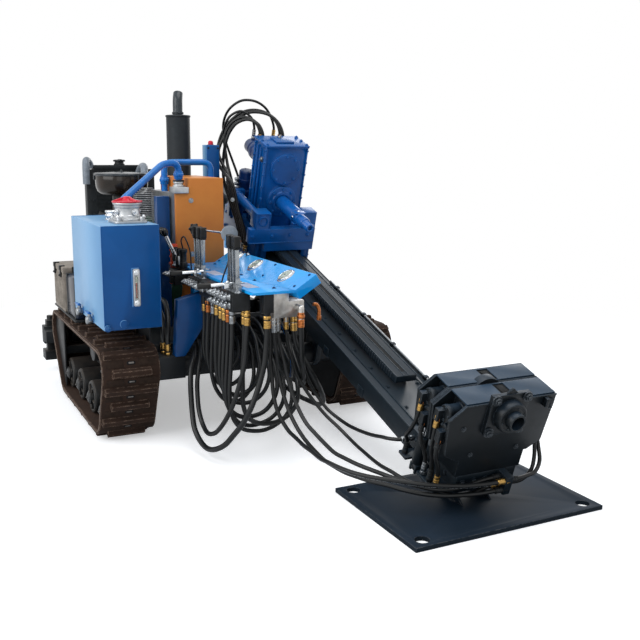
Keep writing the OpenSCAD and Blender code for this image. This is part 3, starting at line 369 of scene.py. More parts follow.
def rangeOf(tree, value, low, high, top=1.0, bottom=0.0):
    return addNode(tree, "ShaderNodeMapRange", {"Value": value, "From Min": low, "From Max": high, "To Min": bottom,
                                                "To Max": top}).outputs["Result"]


def mixOf(tree, amount, one, other):
    return addNode(tree, "ShaderNodeMix", {0: amount, 6: one, 7: other}, data_type="RGBA").outputs[2]


def mathOf(tree, operation, one, other=0.5, **settings):
    return addNode(tree, "ShaderNodeMath", {0: one, 1: other}, operation=operation, **settings).outputs[0]


def newMaterial(name):
    material = bpy.data.materials.new(name)
    material.use_nodes = True
    return material, material.node_tree, material.node_tree.nodes["Principled BSDF"]


def finish(name, look):
    material, tree, shader = newMaterial(name)
    place = addNode(tree, "ShaderNodeTexCoord").outputs["Object"]
    geometry = addNode(tree, "ShaderNodeNewGeometry")
    patches = noiseOf(tree, place, look.get("patch", 180), 5.0, 0.6)
    grains = noiseOf(tree, place, look.get("grain", 3), 3.0, 0.55)
    colour = mixOf(tree, rangeOf(tree, patches, 0.35, 0.68), fromHex(look["colour"]),
                   fromHex(look.get("shade", look["colour"])))
    if look.get("speckle"):  # fine spots, as on cast or sprayed surfaces
        spots = rangeOf(tree, grains, 0.55, 0.75, look["speckle"])
        colour = mixOf(tree, spots, colour, fromHex(look["speckleColour"]))
    if look.get("dustAndHighlight"):  # dust and a painted highlight on what faces up: where the colour is a paler tint of the paint itself it is painted light from above, where grey or brown it is dust
        up = addNode(tree, "ShaderNodeSeparateXYZ", {"Vector": geometry.outputs["Normal"]})
        upDustAndHighlight = rangeOf(tree, up.outputs["Z"], 0.3, 1.0, look["dustAndHighlight"])
        amount = mathOf(tree, "MULTIPLY", upDustAndHighlight, rangeOf(tree, patches, 0.25, 0.7))
        colour = mixOf(tree, amount, colour, fromHex(look.get("dustAndHighlightColour", "#9b958c")))
    if look.get("edge"):  # paint rubbed off along the edges
        soft = addNode(tree, "ShaderNodeBevel", {"Radius": look.get("edgeWidth", 4) / 1000}, samples=4)
        bend = addNode(tree, "ShaderNodeVectorMath", {0: soft.outputs["Normal"], 1: geometry.outputs["Normal"]},
                       operation="DOT_PRODUCT")
        worn = rangeOf(tree, bend.outputs["Value"], 0.995, 0.9)
        kept = rangeOf(tree, noiseOf(tree, place, look.get("chip", 14), 6.0, 0.7), 0.42, 0.6, look["edge"])
        colour = mixOf(tree, mathOf(tree, "MULTIPLY", worn, kept, use_clamp=True), colour,
                       fromHex(look["edgeColour"]))
    if look.get("paintedGrazingSheen"):  # painted sheen: a pale reflection painted into the colour where the surface is seen at a low angle
        low = addNode(tree, "ShaderNodeLayerWeight", {"Blend": 0.5})
        sheen = rangeOf(tree, low.outputs["Facing"], 0.3, 0.75, look["paintedGrazingSheen"])
        colour = mixOf(tree, sheen, colour, fromHex(look["paintedGrazingSheenColour"]))
    tree.links.new(colour, shader.inputs["Base Color"])
    swing = look.get("roughSpread", 0.05)
    gloss = rangeOf(tree, patches, 0.3, 0.7, look["rough"] + swing, look["rough"] - swing)
    tree.links.new(gloss, shader.inputs["Roughness"])
    height = grains
    if look.get("dents"):  # slow waves in sheet or casting
        waves = noiseOf(tree, place, look["dents"], 2.0)
        height = addNode(tree, "ShaderNodeMath", {0: waves, 1: 4.0, 2: grains}, operation="MULTIPLY_ADD").outputs[0]
    bump = addNode(tree, "ShaderNodeBump", {"Height": height, "Strength": look.get("bump", 0.1),
                                            "Distance": look.get("depth", 0.4) / 1000})
    tree.links.new(bump.outputs["Normal"], shader.inputs["Normal"])
    shader.inputs["Metallic"].default_value = look.get("metal", 0.0)
    shader.inputs["Coat Weight"].default_value = look.get("coat", 0.0)
    shader.inputs["Coat Roughness"].default_value = look.get("coatRough", 0.08)
    if not look.get("metal"):
        shader.inputs["Specular IOR Level"].default_value = look.get("shine", 0.2)
    return material


finishes = {
    # two-pack machine enamel, sprayed: glossy, with a faint orange peel about 3 mm apart; their paler tint on
    # up-facing faces is a painted highlight, with a little dust
    # tankEnamel: its pale colour where seen at a low angle is a painted reflection
    "tankEnamel": {"colour": "#004c8a", "shade": "#004079", "paintedGrazingSheen": 0.55, "paintedGrazingSheenColour": "#86bce0", "rough": 0.4,
        "coat": 0.12, "coatRough": 0.14, "dustAndHighlight": 0.12, "dustAndHighlightColour": "#7fb2dc", "patch": 420, "bump": 0.12,
        "dents": 260, "depth": 0.5},
    "deckEnamel": {"colour": "#14a0e8", "shade": "#0890e0", "rough": 0.26, "coat": 0.36, "coatRough": 0.08,
        "dustAndHighlight": 0.08, "dustAndHighlightColour": "#bfe2f2", "patch": 320, "bump": 0.06},
    "gearEnamel": {"colour": "#00529a", "shade": "#004380", "rough": 0.34, "coat": 0.18, "dustAndHighlight": 0.12,
        "dustAndHighlightColour": "#4f9bdc", "patch": 160, "bump": 0.2, "grain": 4, "edge": 0.3, "edgeColour": "#3f88cc",
        "edgeWidth": 3},
    "spindleEnamel": {"colour": "#0a5caa", "shade": "#084c90", "rough": 0.28, "coat": 0.28, "coatRough": 0.1,
        "patch": 90, "bump": 0.15, "edge": 0.8, "edgeColour": "#8fb4d8", "edgeWidth": 2, "chip": 10},
    "deepEnamel": {"colour": "#0b2f66", "shade": "#082350", "rough": 0.36, "coat": 0.16, "dustAndHighlight": 0.25,
        "dustAndHighlightColour": "#4f7fb5", "patch": 120, "bump": 0.2, "grain": 4},
    "pipeEnamel": {"colour": "#0067b8", "shade": "#00559c", "rough": 0.3, "coat": 0.24, "dustAndHighlight": 0.35,
        "dustAndHighlightColour": "#6fb0e6", "patch": 90, "bump": 0.12},
    "columnEnamel": {"colour": "#003e74", "shade": "#00305e", "rough": 0.36, "coat": 0.16, "patch": 200, "bump": 0.15,
        "dustAndHighlight": 0.06, "dustAndHighlightColour": "#7fa6cf"},
    "shroudEnamel": {"colour": "#c97c36", "shade": "#bd6f31", "rough": 0.42, "coat": 0.1, "dustAndHighlight": 0.55,
        "dustAndHighlightColour": "#f2a95c", "patch": 260, "grain": 2.5, "bump": 0.1, "speckle": 0.12,
        "speckleColour": "#a9622c"},
    # black and navy chassis paint: satin, rubbed grey along the edges
    "chassisPaint": {"colour": "#15191d", "shade": "#0e1114", "rough": 0.5, "coat": 0.04, "dustAndHighlight": 0.3,
        "dustAndHighlightColour": "#4a4a48", "patch": 220, "bump": 0.25, "edge": 0.5, "edgeColour": "#4d4f50"},
    # mast, vise and plate paints: the paler bluish colour on up-facing faces is partly dust and partly a painted
    # highlight
    "mastPaint": {"colour": "#172129", "shade": "#10181e", "rough": 0.4, "coat": 0.09, "coatRough": 0.25, "dustAndHighlight": 0.3,
        "dustAndHighlightColour": "#3f4f5e", "patch": 240, "bump": 0.18, "edge": 0.55, "edgeColour": "#55636f", "edgeWidth": 3},
    "visePaint": {"colour": "#10161b", "shade": "#0b1013", "rough": 0.42, "coat": 0.08, "coatRough": 0.2,
        "dustAndHighlight": 0.55, "dustAndHighlightColour": "#34485c", "patch": 150, "bump": 0.2, "edge": 0.7, "edgeColour": "#5a6670",
        "edgeWidth": 3, "chip": 9},
    "viseTop": {"colour": "#223546", "shade": "#1b2b3a", "rough": 0.42, "coat": 0.08, "coatRough": 0.25, "dustAndHighlight": 0.4,
        "dustAndHighlightColour": "#46607a", "patch": 170, "bump": 0.15, "edge": 0.8, "edgeColour": "#7d8d9c", "edgeWidth": 2},
    "rackSteel": {"colour": "#27313a", "shade": "#1c252d", "rough": 0.4, "metal": 0.3, "patch": 30, "bump": 0.2,
        "edge": 0.7, "edgeColour": "#6b7883", "edgeWidth": 2, "chip": 6},
    "deepShadow": {"colour": "#07090b", "shade": "#0b0e11", "rough": 0.7, "patch": 40, "bump": 0.1},
    "boltDark": {"colour": "#2b3238", "shade": "#20262b", "rough": 0.38, "metal": 0.4, "patch": 14, "bump": 0.15,
        "edge": 0.8, "edgeColour": "#8b929a", "edgeWidth": 1.5, "chip": 5},
    "platePaint": {"colour": "#18222b", "shade": "#111920", "shine": 0.08, "rough": 0.55, "dustAndHighlight": 0.35,
        "dustAndHighlightColour": "#35465a", "patch": 300, "bump": 0.2, "dents": 380, "edge": 0.9, "edgeColour": "#6b6a6b",
        "edgeWidth": 5, "chip": 22},
    # moulded track rubber: brown with dried mud, pale and rusty where it is rubbed
    "trackRubber": {"colour": "#271b15", "shade": "#33241c", "rough": 0.86, "dustAndHighlight": 0.15, "dustAndHighlightColour": "#59463a",
        "patch": 70, "grain": 6, "bump": 0.7, "depth": 1.2, "edge": 1.0, "edgeColour": "#8d7767", "edgeWidth": 9,
        "chip": 30, "speckle": 0.15, "speckleColour": "#5e4030"},
    "padRubber": {"colour": "#30231b", "shade": "#231913", "rough": 0.85, "patch": 40, "grain": 5, "bump": 0.5,
        "depth": 1.0},
    "beltRim": {"colour": "#75685f", "shade": "#4c4039", "rough": 0.8, "patch": 60, "grain": 5, "bump": 0.5,
        "speckle": 0.4, "speckleColour": "#8b6248"},
    "rollerPaint": {"colour": "#131517", "shade": "#0c0e0f", "rough": 0.45, "coat": 0.08, "patch": 80, "bump": 0.3,
        "edge": 0.8, "edgeColour": "#77716a", "chip": 12, "dustAndHighlight": 0.4, "dustAndHighlightColour": "#5a5048"},
    "dishRim": {"colour": "#2c2a28", "shade": "#1d1c1b", "rough": 0.5, "patch": 60, "bump": 0.3, "edge": 0.9,
        "edgeColour": "#8c857c", "edgeWidth": 3, "chip": 12, "dustAndHighlight": 0.5, "dustAndHighlightColour": "#6f665c"},
    "hubPaint": {"colour": "#3a3b3c", "shade": "#262728", "rough": 0.36, "coat": 0.12, "patch": 40, "bump": 0.2,
        "edge": 0.9, "edgeColour": "#9a9691", "edgeWidth": 3, "chip": 10},
    "engineEnamel": {"colour": "#1d4d3a", "shade": "#15392b", "rough": 0.45, "coat": 0.1, "patch": 60, "grain": 4,
        "bump": 0.4, "depth": 0.8, "dustAndHighlight": 0.3, "dustAndHighlightColour": "#6b7468"},
    "stackPaint": {"colour": "#262b2f", "shade": "#1c2023", "rough": 0.5, "coat": 0.05, "patch": 140, "bump": 0.2,
        "edge": 0.5, "edgeColour": "#596069"},
    "leverSteel": {"colour": "#9fa4a8", "shade": "#83888c", "rough": 0.24, "metal": 0.95, "patch": 20, "bump": 0.05},
    "tailPaint": {"colour": "#33393e", "shade": "#262b2f", "rough": 0.28, "coat": 0.24, "coatRough": 0.1, "patch": 60,
        "bump": 0.08},
    "radiatorPaint": {"colour": "#15181a", "shade": "#1f2325", "rough": 0.48, "coat": 0.05, "patch": 120, "bump": 0.2,
        "edge": 0.4, "edgeColour": "#53585b", "dustAndHighlight": 0.3, "dustAndHighlightColour": "#4a4b4a"},
    "bowlPlastic": {"colour": "#17130f", "shade": "#22180f", "rough": 0.2, "coat": 0.24, "patch": 110, "bump": 0.05},
    "boxPlastic": {"colour": "#8f877d", "shade": "#6e665e", "rough": 0.6, "patch": 60, "grain": 3, "bump": 0.3,
        "speckle": 0.3, "speckleColour": "#4b443d", "edge": 0.5, "edgeColour": "#c9c2b8"},
    # its paler bluish colour on up-facing faces is a painted highlight
    "darkTank": {"colour": "#131d2e", "shade": "#0c1420", "rough": 0.3, "coat": 0.2, "patch": 160, "bump": 0.1,
        "dustAndHighlight": 0.3, "dustAndHighlightColour": "#50627c"},
    # metals
    "castAluminium": {"colour": "#b9bbbd", "shade": "#9da0a2", "rough": 0.42, "metal": 0.85, "patch": 40, "grain": 2,
        "bump": 0.35, "depth": 0.4},
    "milledAluminium": {"colour": "#c6c4c0", "shade": "#aaa59e", "rough": 0.34, "metal": 0.8, "patch": 30,
        "grain": 1.5, "bump": 0.15, "speckle": 0.3, "speckleColour": "#8a8378"},
    "chrome": {"colour": "#d6d9dc", "shade": "#c2c6ca", "rough": 0.14, "roughSpread": 0.04, "metal": 1.0, "patch": 20,
        "bump": 0.03},
    "wornSteel": {"colour": "#7d7b78", "shade": "#5a5550", "rough": 0.42, "metal": 0.8, "patch": 18, "bump": 0.3,
        "speckle": 0.4, "speckleColour": "#5e3f2a"},
    "yellowZinc": {"colour": "#c39a52", "shade": "#9b7b4a", "rough": 0.3, "metal": 0.9, "patch": 14, "grain": 1.5,
        "bump": 0.12, "speckle": 0.35, "speckleColour": "#7c8a55"},
    "copper": {"colour": "#b9713e", "shade": "#8f552f", "rough": 0.3, "metal": 0.95, "patch": 16, "bump": 0.1},
    "whiteZinc": {"colour": "#9a9ea1", "shade": "#70757a", "rough": 0.3, "metal": 0.9, "patch": 12, "bump": 0.12,
        "speckle": 0.3, "speckleColour": "#6f757a"},
    # small parts
    "gripPlastic": {"colour": "#151515", "shade": "#1e1e1e", "rough": 0.38, "coat": 0.08, "patch": 15, "grain": 1,
        "bump": 0.2},
    "knobBlack": {"colour": "#0e0f10", "shade": "#141516", "rough": 0.12, "coat": 0.24, "patch": 30, "bump": 0.0},
    "valveCasting": {"colour": "#1c1e20", "shade": "#121415", "rough": 0.46, "coat": 0.06, "patch": 25, "grain": 1.5,
        "bump": 0.4, "depth": 0.5, "edge": 0.6, "edgeColour": "#5f6366", "edgeWidth": 2},
    # its pink colour on up-facing faces is a painted highlight
    "capRed": {"colour": "#cf2438", "shade": "#b01c2f", "rough": 0.35, "coat": 0.12, "patch": 20, "bump": 0.1,
        "dustAndHighlight": 0.2, "dustAndHighlightColour": "#e8909a"},
    "valveRed": {"colour": "#cf4a2c", "shade": "#b23a22", "rough": 0.4, "coat": 0.08, "patch": 25, "bump": 0.1},
    "dialCream": {"colour": "#dfe3d4", "shade": "#cfd6c4", "rough": 0.35, "patch": 12, "bump": 0.0},
    "blankPlate": {"colour": "#b9bfd0", "shade": "#9fa8c0", "rough": 0.4, "patch": 12, "grain": 2, "bump": 0.05,
        "speckle": 0.3, "speckleColour": "#8593b5"},
    "greyTin": {"colour": "#7f868e", "shade": "#6c737b", "rough": 0.45, "patch": 20, "bump": 0.05, "coat": 0.08},
}
paints = {name: finish(name, look) for name, look in finishes.items()}
print("finishes made:", len(paints))


def glassFinish():  # clear acrylic of the level gauge and the dials
    material, _, shader = newMaterial("clearAcrylic")
    shader.inputs["Base Color"].default_value = fromHex("#e9f0ee")
    shader.inputs["Roughness"].default_value = 0.05
    shader.inputs["Transmission Weight"].default_value = 0.9
    shader.inputs["IOR"].default_value = 1.49
    return material


rubber = {"deep": "#07090a", "worn": "#0d1012", "scuff": "#3b3834", "scuffs": 0.12, "rough": 0.42, "shine": 0.3,
          "coat": 0.08, "coatRough": 0.25, "wrap": 4.5, "dash": 9, "lineAt": 0.42, "lineHalf": 0.045}


def hoseFinish(name, line=None):  # wrapped hose rubber with raised wrap marks, and one printed line of dashes
    material, tree, shader = newMaterial(name)
    along = addNode(tree, "ShaderNodeUVMap", uv_map="UVMap").outputs["UV"]
    place = addNode(tree, "ShaderNodeTexCoord").outputs["Object"]
    split = addNode(tree, "ShaderNodeSeparateXYZ", {"Vector": along})
    colour = mixOf(tree, noiseOf(tree, place, 60, 4.0), fromHex(rubber["deep"]), fromHex(rubber["worn"]))
    scuffs = rangeOf(tree, noiseOf(tree, place, 22, 6.0, 0.75), 0.6, 0.75, rubber["scuffs"])
    colour = mixOf(tree, scuffs, colour, fromHex(rubber["scuff"]))
    if line:
        near = mathOf(tree, "ABSOLUTE", mathOf(tree, "SUBTRACT", split.outputs["X"], rubber["lineAt"]))
        band = mathOf(tree, "LESS_THAN", near, rubber["lineHalf"])
        lengthwise = addNode(tree, "ShaderNodeCombineXYZ", {"X": split.outputs["Y"]}).outputs[0]
        broken = mathOf(tree, "GREATER_THAN", noiseOf(tree, lengthwise, rubber["dash"], 1.0), 0.47)
        colour = mixOf(tree, mathOf(tree, "MULTIPLY", band, broken), colour, fromHex(line))
    tree.links.new(colour, shader.inputs["Base Color"])
    turn = mathOf(tree, "MULTIPLY", split.outputs["Y"], perMetre(rubber["wrap"]))
    wave = mathOf(tree, "PINGPONG", mathOf(tree, "ADD", turn, split.outputs["X"]), 1.0)
    bump = addNode(tree, "ShaderNodeBump", {"Height": wave, "Strength": 0.18, "Distance": 0.0004})
    tree.links.new(bump.outputs["Normal"], shader.inputs["Normal"])
    shader.inputs["Roughness"].default_value = rubber["rough"]
    shader.inputs["Specular IOR Level"].default_value = rubber["shine"]
    shader.inputs["Coat Weight"].default_value = rubber["coat"]
    shader.inputs["Coat Roughness"].default_value = rubber["coatRough"]
    return material


glass = glassFinish()
hoseFinishes = {"plain": hoseFinish("hoseRubber"), "white": hoseFinish("hoseWhiteLine", "#aab0b4"),
                "red": hoseFinish("hoseRedLine", "#a5272a"), "blue": hoseFinish("hoseBlueLine", "#2a6fc0")}


# Camera at the photograph's place: yaw and pitch of the view, and a slight roll.
view = {"place": (4.4340, -1.8227, 1.5432), "yaw": 0.4652, "pitch": 0.1951, "roll": 0.0075, "lens": 48.84,
        "sensor": 36, "clipEnd": 200}


def addCamera():
    yaw, pitch, roll = view["yaw"], view["pitch"], view["roll"]
    ahead = Vector((-math.cos(yaw) * math.cos(pitch), math.sin(yaw) * math.cos(pitch), -math.sin(pitch)))
    right = Vector((math.sin(yaw), math.cos(yaw), 0))
    above = right.cross(ahead)
    turnedRight = math.cos(roll) * right + math.sin(roll) * above
    turnedUp = math.cos(roll) * above - math.sin(roll) * right
    camera = bpy.data.objects.new("camera", bpy.data.cameras.new("camera"))
    bpy.context.scene.collection.objects.link(camera)
    turned = Matrix((turnedRight, turnedUp, -ahead)).transposed().to_4x4()
    camera.matrix_world = Matrix.Translation(view["place"]) @ turned
    camera.data.sensor_width = view["sensor"]
    camera.data.lens = view["lens"]
    camera.data.clip_end = view["clipEnd"]
    bpy.context.scene.camera = camera


def addLamp(name, place, target, size, energy):
    lamp = bpy.data.lights.new(name, "AREA")
    lamp.shape = "RECTANGLE"
    lamp.size, lamp.size_y = size
    lamp.energy = energy
    obj = bpy.data.objects.new(name, lamp)
    bpy.context.scene.collection.objects.link(obj)
    obj.location = place
    obj.rotation_euler = (Vector(target) - Vector(place)).to_track_quat("-Z", "Y").to_euler()


lamps = {  # place, what it looks at, size in metres, and power
    "sideSky": ((0.5, -5.2, 3.4), (0, -0.3, 0.6), (5, 4), 230),
    "topSky": ((1.2, 0.6, 5.6), (0.4, 0.2, 0.4), (4, 4), 150),
    "frontFill": ((6.0, -3.5, 2.6), (0.6, 0, 0.7), (3, 3), 35),
    "backFill": ((-4.5, 4.5, 3.2), (0, 0, 0.7), (4, 3), 80),
}
studio = {"floor": 60, "floorColour": (0.86, 0.86, 0.87, 1), "nearEdge": 2.2, "farEdge": 4.5, "ambient": 0.5,
          "ambientColour": "#dfe9f2", "floorGlow": 0.42}


def addStudio():
    deselect()
    bpy.ops.mesh.primitive_plane_add(size=studio["floor"], location=(0, 0, 0))
    floor = bpy.context.object
    floor.name = "floor"
    material, tree, shader = newMaterial("paleFloor")
    shader.inputs["Base Color"].default_value = studio["floorColour"]
    shader.inputs["Roughness"].default_value = 0.9
    shader.inputs["Specular IOR Level"].default_value = 0.1
    seen = addNode(tree, "ShaderNodeLightPath")
    glow = mathOf(tree, "MULTIPLY", seen.outputs["Is Camera Ray"], studio["floorGlow"])
    lift = addNode(tree, "ShaderNodeEmission", {"Strength": glow})
    near = addNode(tree, "ShaderNodeAddShader", {0: shader.outputs[0], 1: lift.outputs[0]})
    place = addNode(tree, "ShaderNodeTexCoord").outputs["Object"]
    reach = addNode(tree, "ShaderNodeVectorMath", {0: place}, operation="LENGTH")
    away = rangeOf(tree, reach.outputs["Value"], studio["nearEdge"], studio["farEdge"])
    seenToo = mathOf(tree, "MAXIMUM", seen.outputs["Is Camera Ray"], seen.outputs["Is Glossy Ray"])
    far = mathOf(tree, "MULTIPLY", away, seenToo)
    plain = addNode(tree, "ShaderNodeEmission", {"Strength": 1.0})
    both = addNode(tree, "ShaderNodeMixShader", {0: far, 1: near.outputs[0], 2: plain.outputs[0]})
    tree.links.new(both.outputs[0], tree.nodes["Material Output"].inputs["Surface"])
    floor.data.materials.append(material)
    world = bpy.data.worlds.new("daylight")
    bpy.context.scene.world = world
    world.use_nodes = True
    tree = world.node_tree
    seen = addNode(tree, "ShaderNodeLightPath")
    one = mathOf(tree, "MAXIMUM", seen.outputs["Is Camera Ray"], seen.outputs["Is Glossy Ray"])
    two = mathOf(tree, "MAXIMUM", one, seen.outputs["Is Transmission Ray"])
    ambient = addNode(tree, "ShaderNodeBackground", {"Color": fromHex(studio["ambientColour"]),
                                                     "Strength": studio["ambient"]})
    white = addNode(tree, "ShaderNodeBackground", {"Color": (1, 1, 1, 1), "Strength": 1.0})
    mixed = addNode(tree, "ShaderNodeMixShader", {0: two, 1: ambient.outputs[0], 2: white.outputs[0]})
    tree.links.new(mixed.outputs[0], tree.nodes["World Output"].inputs["Surface"])
    for name, (place, target, size, energy) in lamps.items():
        addLamp(name, place, target, size, energy)


addCamera()
addStudio()
print("camera and studio set")


def mirrored(points):  # to the other side of the mast
    return [(s, -y, n) for s, y, n in points]


breakoutRuns = ([(2166, -262, -60), (2166, -262, -90), (2160, -265, -155), (2140, -265, -215), (2105, -255, -270),
                 (2086, -225, -330), (2086, -225, -360)],
                [(2206, -262, -140), (2206, -262, -170), (2215, -255, -225), (2230, -235, -275), (2242, -225, -330),
                 (2242, -225, -360)])
